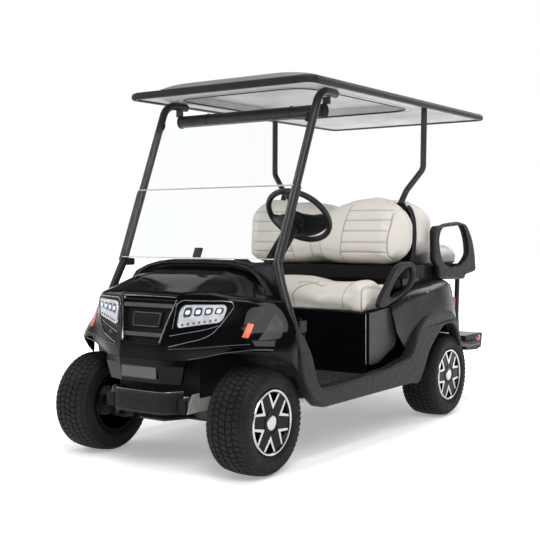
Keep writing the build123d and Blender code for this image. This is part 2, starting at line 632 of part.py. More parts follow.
# ---------------------------------------------------------------- sills, rear wheel flares
# The rear flare tapers inwards towards the back, in plan.
FLARE_TAPER = ((1600, 0), (1810, 34))
outer_x = BODY_HALF_WIDTH + 2
inner_x = SILL_INNER
sill_face = make_face(Polyline([(inner_x, y, z) for y, z in SILL_OUTLINE], close=True))
sill = extrude(sill_face, amount=SILL_DEPTH, dir=(1, 0, 0))
core_face = offset(sill_face, amount=-PANEL, kind=Kind.ARC)
sill -= extrude(core_face, amount=SILL_DEPTH - PANEL, dir=(1, 0, 0))
taper_plan = [(0, 0), (outer_x, 0)] + [(outer_x - draw_in, y) for y, draw_in in FLARE_TAPER] + [(0, FLARE_TAPER[-1][0])]
sill &= plate_z(taper_plan, 0, 1000)
# Front strut: distance from the centre, station and height, then the bend's radius at that point.
FRONT_STRUT = (
    (576, 140, 540, 0), (560, 123, 604, 24), (529, 126, 687, 60), (485, 139, 791, 60), (450, 158, 885, 60),
    (459, 482, STRUT_TOP, 90), (452, 630, STRUT_TOP, 0),
)
FRONT_STRUT_PATH = [(across(x), y, z - (FRONT_STRUT_RADIUS if z == STRUT_TOP else 0)) for x, y, z, _ in FRONT_STRUT]
FRONT_STRUT_BENDS = [bend for *_, bend in FRONT_STRUT[1:-1]]
sill -= tube(FRONT_STRUT_PATH, FRONT_STRUT_RADIUS + SEAT_GAP, FRONT_STRUT_BENDS)
for station, wheel_x, clearance in ((0, FRONT_WHEEL_X, 14), (WHEELBASE, REAR_WHEEL_X, 22)):
    tyre_face = wheel_x + TYRE_WIDTH / 2 + 7
    sill -= rod((0, station, AXLE_Z), (tyre_face, station, AXLE_Z), TYRE_RADIUS + clearance)
save("sill_left", sill)
save("sill_right", mirror(sill, about=Plane.YZ))

# ---------------------------------------------------------------- seat base
# Gloss panel on each side of the seat base, ahead of the quarter, as (station, z).
SIDE_PANEL = (
    (SEAT_BASE_FRONT, 620), (1040, 620), (1072, 593), (1115, 518), (1095, 444), (919, 368), (SEAT_BASE_FRONT, 369),
)
SIDE_PANEL_THICKNESS = 15
base_outer = block((-SEAT_BASE_HALF, SEAT_BASE_HALF), (SEAT_BASE_FRONT, 1440), (FLOOR_TOP + SEAT_GAP, SEAT_DECK))
base_inner = block(
    (-SEAT_BASE_HALF + PANEL, SEAT_BASE_HALF - PANEL),
    (SEAT_BASE_FRONT + PANEL, 1441), (FLOOR_TOP - 1, SEAT_DECK + 1),
)
seat_base = base_outer - base_inner
for x in (-SEAT_BASE_HALF + 30, SEAT_BASE_HALF - 30):
    seat_base += block((x - 26, x + 26), (SEAT_BASE_FRONT + 2, 1168), (SEAT_DECK - 8, SEAT_DECK))
tower = block((-480, 480), (TOWER_FRONT, 1440), (SEAT_DECK - 20, BAND_BOTTOM))
tower -= block((-475, 475), (TOWER_FRONT + PANEL, 1441), (SEAT_DECK - 21, BAND_BOTTOM + 1))
seat_base += tower
for side in (1, -1):
    low, high = sorted((side * 470, side * (SEAT_BASE_HALF - PANEL / 2)))
    seat_base += block((low, high), (TOWER_FRONT, 1439), (SEAT_DECK - 20, SEAT_DECK - 12))
side_panel = plate_x(SIDE_PANEL, SEAT_BASE_HALF, SEAT_BASE_HALF + SIDE_PANEL_THICKNESS)
seat_base += side_panel
seat_base += mirror(side_panel, about=Plane.YZ)
save("seat_base", seat_base)

# Quarter panels: gloss skin around the back of the body, lofted through upright stations.
QUARTER_REAR = 1738
HIP_OUTLINE = (
    (891, 660), (921, 702), (1065, 834), (1100, 850), (1151, 861), (1239, 860), (1278, 850), (1296, 827),
    (1285, 765), (1229, 716), (1087, 673), (952, 642), (905, 644),
)
HIP_WINDOW = ((1020, 706), (1097, 768), (1184, 812), (1228, 819), (1245, 793), (1206, 750), (1119, 714), (1034, 700))
QUARTER_LEVELS = (
    # station, top z, half width at top, at mid height, at the bottom, bottom z
    (1010, 640, 524, 530, 526, 392),
    (1130, 690, 548, 550, 542, 396),
    (1250, 716, 564, 576, 572, 420),
    (1430, 734, 566, 590, 594, 500),
    (1580, 748, 558, 586, 592, 500),
    (1680, 748, 538, 566, 578, 470),
    (1740, 742, 512, 544, 560, 440),
)


def quarter_block(inset):
    faces = []
    for station, top, x_top, x_mid, x_low, low in QUARTER_LEVELS:
        shift = -40 if inset and station == QUARTER_LEVELS[0][0] else 0
        x_top, x_mid, x_low = across(x_top), across(x_mid), across(x_low)
        outline = [
            (0, top - inset), (x_top - 40 - inset, top - inset), (x_top - inset, top - 22 - inset),
            (x_mid - inset, (top + low) / 2), (x_low - inset, low - 200), (0, low - 200),
        ]
        points = outline + [(-x, z) for x, z in reversed(outline) if x > 0]
        faces.append(make_face(Polyline([(x, station + shift, z) for x, z in points], close=True)))
    return loft(faces, ruled=True)


quarter = quarter_block(0) - quarter_block(PANEL)
quarter_side = [
    (1039, 900), (1039, 647), (1050, 576), (1072, 509), (1126, 444), (1150, 400), (1170, 400),
    (1214, 500), (1295, 560), (1400, 590), (1560, 590), (1640, 560), (QUARTER_REAR, 500), (QUARTER_REAR, 900),
]
quarter &= plate_x(quarter_side, -700, 700)
quarter -= block((-CUSHION_HALF - 6, CUSHION_HALF + 6), (900, 1900), (200, 900))
quarter -= sill_space()
hip_space = plate_x(HIP_OUTLINE, 500, 544)
quarter -= hip_space
quarter -= mirror(hip_space, about=Plane.YZ)
quarters = [solid for solid in quarter.solids() if solid.volume > 20000]
save("rear_quarters", *quarters)

# Rear wall under the rear deck.
rear_wall = plate_x(
    [(QUARTER_REAR + SEAT_GAP, 724), (1766, 680), (1796, 600), (1826, 520), (1846, 440)]
    + [(1841, 440), (1821, 520), (1791, 600), (1761, 680), (QUARTER_REAR + SEAT_GAP, 712)],
    -520, 520,
)
save("rear_wall", rear_wall)

TAIL_LAMP_Z = (592, 650)
TAIL_LAMP_X = (520 + SEAT_GAP, 541)
tail = block(TAIL_LAMP_X, (QUARTER_REAR + SEAT_GAP, QUARTER_REAR + 16), TAIL_LAMP_Z)
save("tail_lamps", *pair(tail))

# ---------------------------------------------------------------- seats
# Side view of a seat cushion, crowned and softened at the front, as shares of depth and height.
cushion_low = SEAT_DECK + SEAT_GAP


def cushion(half, front, rear, low, thickness, dip):
    """Seat cushion: two crowned seats with a lower middle; dip is the drop at the centre."""
    crown = [
        (0, thickness - dip), (half * 0.12, thickness - dip * 0.8), (half * 0.34, thickness),
        (half * 0.75, thickness), (half * 0.93, thickness * 0.86), (half, thickness * 0.5), (half * 0.98, 0),
    ]
    outline = [(x, low + z) for x, z in crown] + [(0, low)]
    front_view = outline + [(-x, z) for x, z in reversed(outline) if x > 0]
    depth = rear - front
    side_view = [
        (front + depth * 0.03, low), (front, low + thickness * 0.45), (front + depth * 0.06, low + thickness * 0.82),
        (front + depth * 0.18, low + thickness), (rear - depth * 0.12, low + thickness * 0.96), (rear, low + thickness * 0.8), (rear, low),
    ]
    return plate_y(front_view, front - 50, rear + 50) & plate_x(side_view, -half - 50, half + 50)


save("front_cushion", cushion(CUSHION_HALF, CUSHION_FRONT, CUSHION_REAR, cushion_low, CUSHION_THICKNESS, 34))


def backrest(half, bottom, top, dip, side_view, plan):
    """Backrest with two rounded shoulders and a dip between them; the plan rounds its corners."""
    height = top - bottom
    crown = [
        (0, top - dip), (half * 0.2, top - dip * 0.7), (half * 0.42, top - 6), (half * 0.66, top), (half * 0.84, top - height * 0.08),
        (half * 0.97, top - height * 0.28), (half, top - height * 0.6), (half * 0.96, bottom + height * 0.14), (half * 0.84, bottom), (0, bottom),
    ]
    front_view = plate_y(mirrored_outline(crown), side_view[0][0] - 300, side_view[0][0] + 400)
    plan_view = plate_z(mirrored_outline(plan), bottom - 1, top + 1)
    return front_view & plate_x(side_view, -half - 50, half + 50) & plan_view


front_back_view = [
    (1160, BACKREST_BOTTOM), (1168, 900), (1186, 1060), (1204, 1170), (1226, BACKREST_TOP), (1262, 1196),
    (1300, 1120), (1318, 1020), (1312, 930), (1288, 868), (1240, BACKREST_BOTTOM),
]
FRONT_REST_PLAN = (
    (0, 1150), (330, 1150), (410, 1180), (460, 1230), (BACKREST_HALF, 1290), (BACKREST_HALF, 1330), (0, 1330),
)
front_rest = backrest(BACKREST_HALF, BACKREST_BOTTOM, BACKREST_TOP, 72, front_back_view, FRONT_REST_PLAN)
save("front_backrest", front_rest)

rear_back_view = [
    (1450, 884), (1442, 1000), (1432, 1120), (1456, 1172), (1520, 1196), (1590, 1160), (1650, 1080), (1672, 1010),
    (1664, 940), (1630, 892), (1560, 876),
]
REAR_REST_HALF = BACKREST_HALF - 24
REAR_REST_PLAN = (
    (0, 1420), (REAR_REST_HALF, 1420), (REAR_REST_HALF, 1570), (440, 1620), (390, 1660), (320, 1684), (0, 1684),
)
rear_rest = backrest(REAR_REST_HALF, 876, 1196, 66, rear_back_view, REAR_REST_PLAN)
save("rear_backrest", rear_rest)

# Dark curved shells that close the space between the two backrests.
shell_view = [
    (1332, BACKREST_BOTTOM), (1332, 1020), (1314, 1120), (1278, 1190), (1330, 1176), (1400, 1150),
    (1428, 1110), (1438, 1000), (1446, 884), (1440, BACKREST_BOTTOM),
]
shell_core = [
    (1342, 820), (1342, 1024), (1326, 1122), (1304, 1168), (1328, 1164), (1392, 1138), (1416, 1104),
    (1426, 996), (1434, 890), (1430, 820),
]
shell = plate_x(shell_view, 440, 484) - plate_x(shell_core, 400, 479)
# Rear strut: distance from the centre, station and height.
REAR_STRUT_PATH = (
    (380, 1380, BACKREST_BOTTOM), (380, 1384, 1130), (396, 1452, 1235), (483, 1476, 1350), (485, 1482, STRUT_TOP),
)
REAR_STRUT_BENDS = (50, 50, 50)
save("backrest_shells", *pair(max(shell.solids(), key=lambda solid: solid.volume)))

# Posts between the backrests, standing on the support band.
posts = block((280, 320), (1290, BAND_REAR), (BAND_TOP, 1100)) - front_rest - rear_rest
save("backrest_posts", *pair(max(posts.solids(), key=lambda solid: solid.volume)))

# ---------------------------------------------------------------- seat support band and rear deck
band = block((-500, 500), (BAND_FRONT, BAND_REAR), (BAND_BOTTOM, BAND_TOP))
band -= block((-495, 495), (BAND_FRONT + PANEL, BAND_REAR - PANEL), (BAND_BOTTOM - 1, BAND_TOP - PANEL))
band += block((-495, 495), (TOWER_FRONT - 20, TOWER_FRONT + PANEL), (BAND_BOTTOM, BAND_BOTTOM + PANEL))
save("seat_support", band)

deck = block((-470, 470), (REAR_DECK_FRONT, REAR_DECK_REAR), (BAND_BOTTOM, BAND_TOP - 10))
deck -= block((-465, 465), (REAR_DECK_FRONT + 5, REAR_DECK_REAR - 5), (BAND_BOTTOM - 1, BAND_TOP - 10 - PANEL))
save("rear_deck", deck)

rear_low = BAND_TOP - 10 + SEAT_GAP
save(
    "rear_cushion",
    cushion(REAR_CUSHION_HALF, REAR_CUSHION_FRONT, REAR_CUSHION_REAR, rear_low, REAR_CUSHION_THICKNESS, 22),
)

# ---------------------------------------------------------------- arm rests and hip restraints
hip = plate_x([(y, z + SEAT_GAP) for y, z in HIP_OUTLINE], 504, 540) - plate_x(HIP_WINDOW, 490, 560)
save("hip_restraints", *pair(hip))

arm_outline = [
    (1612, 756), (1606, 820), (1548, 850), (1543, 1020), (1562, 1044), (1736, 1054), (1909, 1064), (1964, 1056),
    (2007, 1018), (2050, 965), (2080, 895), (2103, 789), (2081, 781), (1955, 765), (1941, 743), (1640, 752),
]
arm_window = [
    (1640, 1016), (1691, 1028), (1789, 1036), (1860, 1040), (1901, 1036), (1933, 1007), (1966, 950), (1976, 892),
    (1946, 871), (1904, 850), (1843, 834), (1739, 836), (1674, 853), (1635, 899), (1616, 970),
]
arm_rest = plate_x(arm_outline, 470 + SEAT_GAP, 520) - plate_x(arm_window, 400, 600)
save("arm_rests", *pair(arm_rest))

# ---------------------------------------------------------------- footrest
FOOT_FRONT = 2176
FOOT_REAR = WHEELBASE + REAR_OVERHANG
FOOT_TOP = 387
FOOT_HALF = 420
FOOT_TUBE_RADIUS = 14
FOOT_TUBE_BEND = 60
foot_view = [(FOOT_FRONT, FOOT_TOP), (FOOT_REAR, FOOT_TOP), (FOOT_REAR - 20, 300), (FOOT_REAR - 90, 290), (FOOT_FRONT + 20, 300)]
foot = plate_x(foot_view, -FOOT_HALF, FOOT_HALF)
foot -= block((-FOOT_HALF + 6, FOOT_HALF - 6), (FOOT_FRONT + 28, FOOT_REAR - 28), (200, FOOT_TOP - 6))
save("footrest_pan", foot)

FOOT_TUBE_X = FOOT_HALF + FOOT_TUBE_RADIUS + SEAT_GAP
# Side view of each footrest tube, from under the rear deck down and back beside the pan.
FOOT_TUBE_SIDE = ((2026, BAND_BOTTOM - SEAT_GAP), (2012, 527), (2030, 360), (2180, 336), (2330, 336))
foot_tube = tube([(FOOT_TUBE_X, y, z) for y, z in FOOT_TUBE_SIDE], FOOT_TUBE_RADIUS, FOOT_TUBE_BEND, 2)
save("footrest_tubes", *pair(foot_tube))

# ---------------------------------------------------------------- canopy struts
front_strut = tube(FRONT_STRUT_PATH, FRONT_STRUT_RADIUS, FRONT_STRUT_BENDS, STRUT_WALL)
save("front_struts", *pair(front_strut))

rear_strut = tube(REAR_STRUT_PATH, REAR_STRUT_RADIUS, REAR_STRUT_BENDS, STRUT_WALL)
save("rear_struts", *pair(rear_strut))

# ---------------------------------------------------------------- roof
def rounded_plan(half_front, half_rear, front, rear, radius, height):
    """Flat face with rounded corners, wider or narrower towards the rear."""
    corners = [(-half_front, front), (half_front, front), (half_rear, rear), (-half_rear, rear)]
    face = make_face(Polyline([(x, y, height) for x, y in corners], close=True))
    return fillet(face.vertices(), radius)


def roof_slab(inset, z_low, z_high):
    half_front, half_rear = ROOF_HALF_FRONT - inset, ROOF_HALF_REAR - inset
    face = rounded_plan(half_front, half_rear, ROOF_FRONT + inset, ROOF_REAR - inset, ROOF_CORNER - inset, z_low)
    return extrude(face, amount=z_high - z_low, dir=(0, 0, 1))


# Rising outlines of the canopy's crown: distance in from the roof's edge at the sides, at the
# front and at the rear, the corner's radius, and the share of the crown's height.
CROWN = ((60, 60, 60, 90, 0), (110, 96, 110, 110, 0.6), (160, 130, 170, 120, 0.9), (230, 190, 240, 130, 1.0))
edge_top = ROOF_LIP + ROOF_EDGE
roof = roof_slab(0, ROOF_LIP, edge_top) - roof_slab(14, ROOF_LIP - 1, edge_top - ROOF_SHEET)
crown_levels = []
for side, front, rear, radius, share in CROWN:
    half_front, half_rear = ROOF_HALF_FRONT - side, ROOF_HALF_REAR - side
    height = edge_top + (ROOF_DOME * share if share else -ROOF_SHEET)
    crown_levels.append(rounded_plan(half_front, half_rear, ROOF_FRONT + front, ROOF_REAR - rear, radius, height))
crown_shape = loft(crown_levels, ruled=True)
roof = roof + crown_shape - Pos(0, 0, -ROOF_SHEET) * crown_shape
save("roof_shell", roof)

# Roof liner: a thin sheet with a raised tray whose opening has rounded corners.
LINER_SHEET = 4
TRAY_HALF_WIDTH = 390
TRAY_HALF_LENGTH = 540
TRAY_CENTRE = 1000
TRAY_CORNER = 120
TRAY_DEPTH = 40


def tray(grow, z_low, height):
    """Block with the liner tray's outline, grown outwards by a margin."""
    half_width, half_length = TRAY_HALF_WIDTH + grow, TRAY_HALF_LENGTH + grow
    front, rear = TRAY_CENTRE - half_length, TRAY_CENTRE + half_length
    face = rounded_plan(half_width, half_width, front, rear, TRAY_CORNER + grow, z_low)
    return extrude(face, amount=height, dir=(0, 0, 1))


liner_low = ROOF_LIP + 8
liner = roof_slab(14 + SEAT_GAP, liner_low, liner_low + LINER_SHEET) - tray(0, liner_low - 1, 10)
recess = tray(LINER_SHEET, liner_low, TRAY_DEPTH) - tray(0, liner_low - 1, TRAY_DEPTH - LINER_SHEET + 1)
save("roof_liner", liner + recess)

# Overhead bar between the front struts, hung from them by two straps.
BAR_Y = 567
BAR_Z = 1576
BAR_RADIUS = 30
BAR_WALL = 4
BAR_HALF = 434
STRAP_X = (426, 460)
bar = rod((-BAR_HALF, BAR_Y, BAR_Z), (BAR_HALF, BAR_Y, BAR_Z), BAR_RADIUS)
bar -= rod((-BAR_HALF + BAR_WALL, BAR_Y, BAR_Z), (BAR_HALF - BAR_WALL, BAR_Y, BAR_Z), BAR_RADIUS - BAR_WALL)
strap_top = STRUT_TOP - 2 * FRONT_STRUT_RADIUS - SEAT_GAP
strap = block(STRAP_X, (BAR_Y - 8, BAR_Y + 8), (BAR_Z + 20, strap_top)) - rod((0, BAR_Y, BAR_Z), (500, BAR_Y, BAR_Z), BAR_RADIUS - 2)
for piece in pair(strap):
    bar += piece
save("overhead_bar", bar)

# ---------------------------------------------------------------- windshield
# The two panes stand on the front of the struts, between these heights.
PANES = (
    # name, lower edge, upper edge
    ("windshield_lower", 897, 1218),
    ("windshield_upper", 1230, 1530),
)
strut_foot, strut_head = FRONT_STRUT_PATH[4], FRONT_STRUT_PATH[5]
strut_rise = strut_head[2] - strut_foot[2]
strut_lean = hypot(strut_head[1] - strut_foot[1], strut_rise) / strut_rise


def strut_at(height):
    """Distance from the centre line and station of the front strut's axis at a height."""
    share = (height - strut_foot[2]) / strut_rise
    return [low + share * (high - low) for low, high in zip(strut_foot[:2], strut_head[:2])]


def pane(z_low, z_high):
    """Sheet of glass that covers the fronts of both struts."""
    (half_low, y_low), (half_high, y_high) = strut_at(z_low), strut_at(z_high)
    back = (FRONT_STRUT_RADIUS + SEAT_GAP) * strut_lean
    front = back + GLASS * strut_lean
    side_view = [(y_low - front, z_low), (y_low - back, z_low), (y_high - back, z_high), (y_high - front, z_high)]
    front_view = [(-half_low, z_low), (half_low, z_low), (half_high, z_high), (-half_high, z_high)]
    return plate_x(side_view, -700, 700) & plate_y(front_view, -100, 900)


for name, z_low, z_high in PANES:
    save(name, pane(z_low, z_high))
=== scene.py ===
"""Dresses the four-seat golf cart: materials, soft seats, panels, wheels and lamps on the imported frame."""

import json
import math

import bmesh
import bpy
import numpy as np
from mathutils import Euler, Matrix, Vector


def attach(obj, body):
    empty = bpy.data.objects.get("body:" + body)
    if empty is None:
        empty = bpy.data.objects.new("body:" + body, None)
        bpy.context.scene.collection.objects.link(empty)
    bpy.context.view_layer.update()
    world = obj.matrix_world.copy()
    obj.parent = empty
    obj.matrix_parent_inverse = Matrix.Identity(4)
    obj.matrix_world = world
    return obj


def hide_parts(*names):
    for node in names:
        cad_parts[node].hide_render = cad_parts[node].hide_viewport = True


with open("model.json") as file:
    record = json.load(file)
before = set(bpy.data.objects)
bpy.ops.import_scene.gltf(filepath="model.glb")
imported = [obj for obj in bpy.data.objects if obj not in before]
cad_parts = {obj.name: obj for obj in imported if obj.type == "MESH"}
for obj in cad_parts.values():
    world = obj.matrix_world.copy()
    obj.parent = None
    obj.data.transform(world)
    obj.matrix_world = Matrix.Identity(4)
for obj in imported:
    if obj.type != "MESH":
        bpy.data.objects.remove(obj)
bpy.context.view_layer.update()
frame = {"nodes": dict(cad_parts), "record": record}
nodes = frame["nodes"]
scene = bpy.context.scene
AXLE = 1095  # mm from the front axle to the middle of the cart's length
WHEELBASE = 1669
WHEEL_HEIGHT = 228  # height of the axles in mm
MIX_A, MIX_B, MIX_RESULT = 6, 7, 2  # the Mix node's colour sockets


def at(x, s, z):
    """A point in metres from mm across, behind the front axle and up."""
    return Vector((x, s - AXLE, z)) / 1000


# ---------------------------------------------------------------- materials
def put(tree, kind, links=(), values=(), **facts):
    """Adds a node to a tree: sockets to link, sockets to set, and its own settings."""
    node = tree.nodes.new("ShaderNode" + kind)
    for key, value in facts.items():
        setattr(node, key, value)
    for key, value in dict(values).items():
        node.inputs[key].default_value = value
    for key, output in dict(links).items():
        tree.links.new(output, node.inputs[key])
    return node


class Nodes:
    """A material's node tree, with its shader and its object coordinates at hand."""

    def __init__(self, name):
        self.mat = bpy.data.materials.new(name)
        self.mat.use_nodes = True
        self.tree = self.mat.node_tree
        self.bsdf = self.tree.nodes["Principled BSDF"]
        self.coords = put(self.tree, "TexCoord").outputs["Object"]

    def put(self, kind, links=(), values=(), **facts):
        return put(self.tree, kind, links, values, **facts)

    def join(self, output, socket):
        self.tree.links.new(output, self.bsdf.inputs[socket])

    def ramp(self, fac, stops):
        node = self.put("ValToRGB", {"Fac": fac})
        for element, (place, shade) in zip(node.color_ramp.elements, stops):
            element.position = place
            element.color = (*shade, 1) if isinstance(shade, tuple) else (shade, shade, shade, 1)
        return node.outputs["Color"]


def strongest(tree, *outputs):
    """The largest of several values in a node tree."""
    total = outputs[0]
    for other in outputs[1:]:
        total = put(tree, "Math", {0: total, 1: other}, operation="MAXIMUM").outputs[0]
    return total


def finish(
    name, colour, rough, metal=0.0, vary=0.12, broad=9.0, grain=900.0, bump=0.05, depth=0.0004, coat=0.0, spec=0.5,
    glow=0.0,
):
    """A surface with broad colour variation, fine grain in its bump and uneven roughness."""
    n = Nodes(name)
    cloud = n.put("TexNoise", {"Vector": n.coords}, {"Scale": broad, "Detail": 6.0, "Roughness": 0.6}).outputs["Fac"]
    dark = tuple(c * (1 - vary) for c in colour)
    pale = tuple(min(1, c * (1 + vary)) for c in colour)
    n.join(n.ramp(cloud, [(0.3, dark), (0.7, pale)]), "Base Color")
    smear = n.put("TexNoise", {"Vector": n.coords}, {"Scale": broad * 5, "Detail": 5.0}).outputs["Fac"]
    reach = {"From Min": 0.3, "From Max": 0.7, "To Min": rough * 0.82, "To Max": min(1, rough * 1.18)}
    n.join(n.put("MapRange", {"Value": smear}, reach).outputs["Result"], "Roughness")
    speck = n.put("TexNoise", {"Vector": n.coords}, {"Scale": grain, "Detail": 3.0}).outputs["Fac"]
    dent = n.put("Bump", {"Height": speck}, {"Strength": bump, "Distance": depth})
    n.join(dent.outputs["Normal"], "Normal")
    for socket, value in (
        ("Metallic", metal), ("Specular IOR Level", spec), ("Coat Weight", coat), ("Coat Roughness", 0.03),
    ):
        n.bsdf.inputs[socket].default_value = value
    if glow:
        n.bsdf.inputs["Emission Color"].default_value = (*colour, 1)
        n.bsdf.inputs["Emission Strength"].default_value = glow
    return n.mat


def leather(name, colour, seam_and_shade_colour):
    """Grained vinyl: pebbled cells in the bump, a soft change of shade, and darker along the sewn lines, where the
    seams' own dark line and painted shade in their grooves are mixed in.
    """
    mat = finish(name, colour, 0.44, vary=0.025, broad=5.0, grain=2600, bump=0.25, depth=0.0003, spec=0.42)
    tree = mat.node_tree
    coords = tree.nodes["Texture Coordinate"].outputs["Object"]
    cells = put(tree, "TexVoronoi", {"Vector": coords}, {"Scale": 620})
    pebble = put(tree, "Bump", {"Height": cells.outputs["Distance"]}, {"Strength": 0.3, "Distance": 0.0005})
    tree.links.new(pebble.outputs["Normal"], tree.nodes["Bump"].inputs["Normal"])
    shade = tree.nodes["Principled BSDF"].inputs["Base Color"]
    seam_and_shade = put(tree, "Attribute", attribute_name="seam_and_shade").outputs["Fac"]
    sockets = {"Factor": seam_and_shade, MIX_A: shade.links[0].from_socket}
    mix = put(tree, "Mix", sockets, {MIX_B: (*seam_and_shade_colour, 1)}, data_type="RGBA")
    tree.links.new(mix.outputs[MIX_RESULT], shade)
    return mat


def tread_plate(name):
    """Pressed aluminium plate with crossed raised lozenges."""
    n = Nodes(name)
    lozenges = []
    fade = {"From Min": 0.22, "From Max": 0.34, "To Min": 1.0, "To Max": 0.0}
    for angle, phase in ((0.785, 0.0), (-0.785, 0.5)):
        slant = {"Rotation": (0, 0, angle), "Scale": (30, 75, 1), "Location": (phase, phase, 0)}
        turned = n.put("Mapping", {"Vector": n.coords}, slant).outputs["Vector"]
        grid = n.put("TexVoronoi", {"Vector": turned}, {"Scale": 1.0, "Randomness": 0.0}).outputs["Distance"]
        lozenges.append(n.put("MapRange", {"Value": grid}, fade).outputs["Result"])
    height = strongest(n.tree, *lozenges)
    n.join(n.ramp(height, [(0.0, 0.5), (1.0, 0.85)]), "Base Color")
    dent = n.put("Bump", {"Height": height}, {"Strength": 0.9, "Distance": 0.002})
    n.join(dent.outputs["Normal"], "Normal")
    n.bsdf.inputs["Metallic"].default_value = 0.35
    n.bsdf.inputs["Roughness"].default_value = 0.36
    return n.mat


def lens_material(name):
    """Thin clear lens: sharp transmission with a trace of moulding waviness."""
    n = Nodes(name)
    wave = n.put("TexNoise", {"Vector": n.coords}, {"Scale": 3.0, "Detail": 1.0})
    n.join(n.ramp(wave.outputs["Fac"], [(0.3, (0.955, 0.985, 0.975)), (0.7, (0.975, 0.99, 0.985))]), "Base Color")
    dent = n.put("Bump", {"Height": wave.outputs["Fac"]}, {"Strength": 0.02, "Distance": 0.001})
    n.join(dent.outputs["Normal"], "Normal")
    n.bsdf.inputs["Transmission Weight"].default_value = 1.0
    n.bsdf.inputs["Roughness"].default_value = 0.0
    n.bsdf.inputs["IOR"].default_value = 1.08
    return n.mat


GLOSS = finish("gloss_black", (0.003, 0.003, 0.0036), 0.09, vary=0.2, grain=260, bump=0.012, coat=0.06, spec=0.1)
TRIM = finish("matte_trim", (0.0125, 0.0125, 0.0134), 0.5, grain=1400, bump=0.3, depth=0.0003, spec=0.22)
SHADE = finish("dark_plastic", (0.005, 0.005, 0.0056), 0.55, grain=1200, bump=0.3, spec=0.16)
TUBE = finish("tube_coat", (0.024, 0.0244, 0.0255), 0.36, grain=1100, bump=0.18, spec=0.3)
ALUMINIUM = finish("frame_metal", (0.62, 0.61, 0.59), 0.38, metal=1.0, vary=0.08, grain=700, bump=0.12)
STEEL = finish("axle_steel", (0.03, 0.03, 0.032), 0.5, metal=0.4, vary=0.3, grain=500, bump=0.3)
# The second colour darkens the sewn lines: partly their own dark line, partly painted shade in their grooves.
VINYL = leather("seat_vinyl", (0.76, 0.715, 0.65), (0.3, 0.27, 0.235))
RUBBER = finish("tyre_rubber", (0.0122, 0.012, 0.0118), 0.6, vary=0.25, grain=900, bump=0.35, spec=0.16)
RIM = finish("rim_gloss", (0.0035, 0.0035, 0.004), 0.16, grain=600, bump=0.02, coat=0.03, spec=0.08)
BRIGHT = finish("machined_bright", (0.52, 0.53, 0.54), 0.24, metal=1.0, vary=0.05, grain=1500, bump=0.1)
CHROME = finish("chrome_trim", (0.8, 0.81, 0.82), 0.12, metal=1.0, vary=0.03, grain=800, bump=0.02)
# Satin grey for bars and plates, and painted highlights where it lies along the creases under the headlamps.
SATIN_AND_HIGHLIGHT = finish("satin_and_highlight", (0.085, 0.085, 0.088), 0.4, metal=0.5, vary=0.08, grain=1500, bump=0.1)
GLASS = lens_material("clear_glass")
FOLD = finish("fold_strip", (0.5, 0.49, 0.46), 0.4, vary=0.05, grain=900, bump=0.1, spec=0.4)
LAMP = finish("lamp_reflector", (0.6, 0.63, 0.67), 0.25, metal=0.2, vary=0.2, broad=30, grain=300, bump=0.05)
LED = finish("lamp_led", (0.8, 0.84, 0.9), 0.3, vary=0.02, grain=500, bump=0.02, glow=0.3)
CELL = finish("lamp_cell", (0.09, 0.1, 0.12), 0.2, metal=0.5, vary=0.2, grain=400, bump=0.05)
AMBER = finish("lamp_amber", (0.72, 0.12, 0.02), 0.25, grain=500, bump=0.1)
RED = finish("lamp_red", (0.5, 0.015, 0.012), 0.2, grain=500, bump=0.1)
LINER = finish("roof_lining", (0.62, 0.62, 0.635), 0.5, vary=0.3, broad=1.6, grain=800, bump=0.2)
ROOF = finish("roof_skin", (0.02, 0.0195, 0.019), 0.42, vary=0.1, grain=700, bump=0.15, spec=0.12)
BATTERY = finish("battery_case", (0.05, 0.052, 0.055), 0.6, grain=900, bump=0.4)
GRIP = finish("grip", (0.012, 0.012, 0.0127), 0.42, grain=1400, bump=0.5, spec=0.3)
# Pale grey for the front frame rails' side faces: partly the aluminium's own tone, partly painted sheen standing in for
# the light they catch.
RAIL_TONE_AND_SHEEN = finish("rail_tone_and_sheen", (0.36, 0.345, 0.325), 0.5, vary=0.18, broad=18, grain=700, bump=0.2, spec=0.4)
# Bright metallic bars that paint highlights on the creases and edges of the gloss black body, the bumper and the
# grille.
PAINTED_HIGHLIGHT = finish("painted_highlight", (0.22, 0.22, 0.23), 0.22, metal=0.9, vary=0.4, broad=16, grain=900, bump=0.03)
# Dark grey: the tone of grey trim lines, and a painted reflection on the gloss black where it lies on the nose, the
# wings and the seat base's side.
GREY_TRIM_AND_SHEEN = finish("grey_trim_and_sheen", (0.036, 0.036, 0.038), 0.36, vary=0.1, grain=900, bump=0.01, spec=0.22)
# Gloss black painted a lighter grey for the rear quarters: a painted reflection of the studio on their sides.
PAINTED_SHEEN_FLANK = finish("gloss_flank_painted_sheen", (0.016, 0.016, 0.017), 0.26, vary=0.1, grain=900, bump=0.008, coat=0.05, spec=0.24)
# Light grey-beige on the roof's crown: a painted sheen of the light from above on the same dark roof skin.
PAINTED_SHEEN_CROWN = finish("roof_crown_painted_sheen", (0.17, 0.162, 0.15), 0.5, vary=0.06, grain=700, bump=0.12, spec=0.25)
MAT = finish("mat_rubber", (0.028, 0.028, 0.029), 0.6, vary=0.2, grain=900, bump=0.4, spec=0.3)
PLATE = tread_plate("tread_plate")
SLOTS = {
    "gloss_body": GLOSS, "matte_trim": TRIM, "tube_coat": TUBE, "frame_metal": ALUMINIUM, "axle_steel": STEEL,
    "seat_vinyl": VINYL, "tyre_rubber": RUBBER, "rim_finish": RIM, "clear_glass": GLASS, "lamp_clear": LAMP,
    "lamp_amber": AMBER, "lamp_red": RED, "roof_lining": LINER, "battery_case": BATTERY, "grip": GRIP,
}
DARK_NODES = ("floor_pan", "wheel_liners", "seat_support", "rear_deck", "steering_column", "pedals", "backrest_posts")
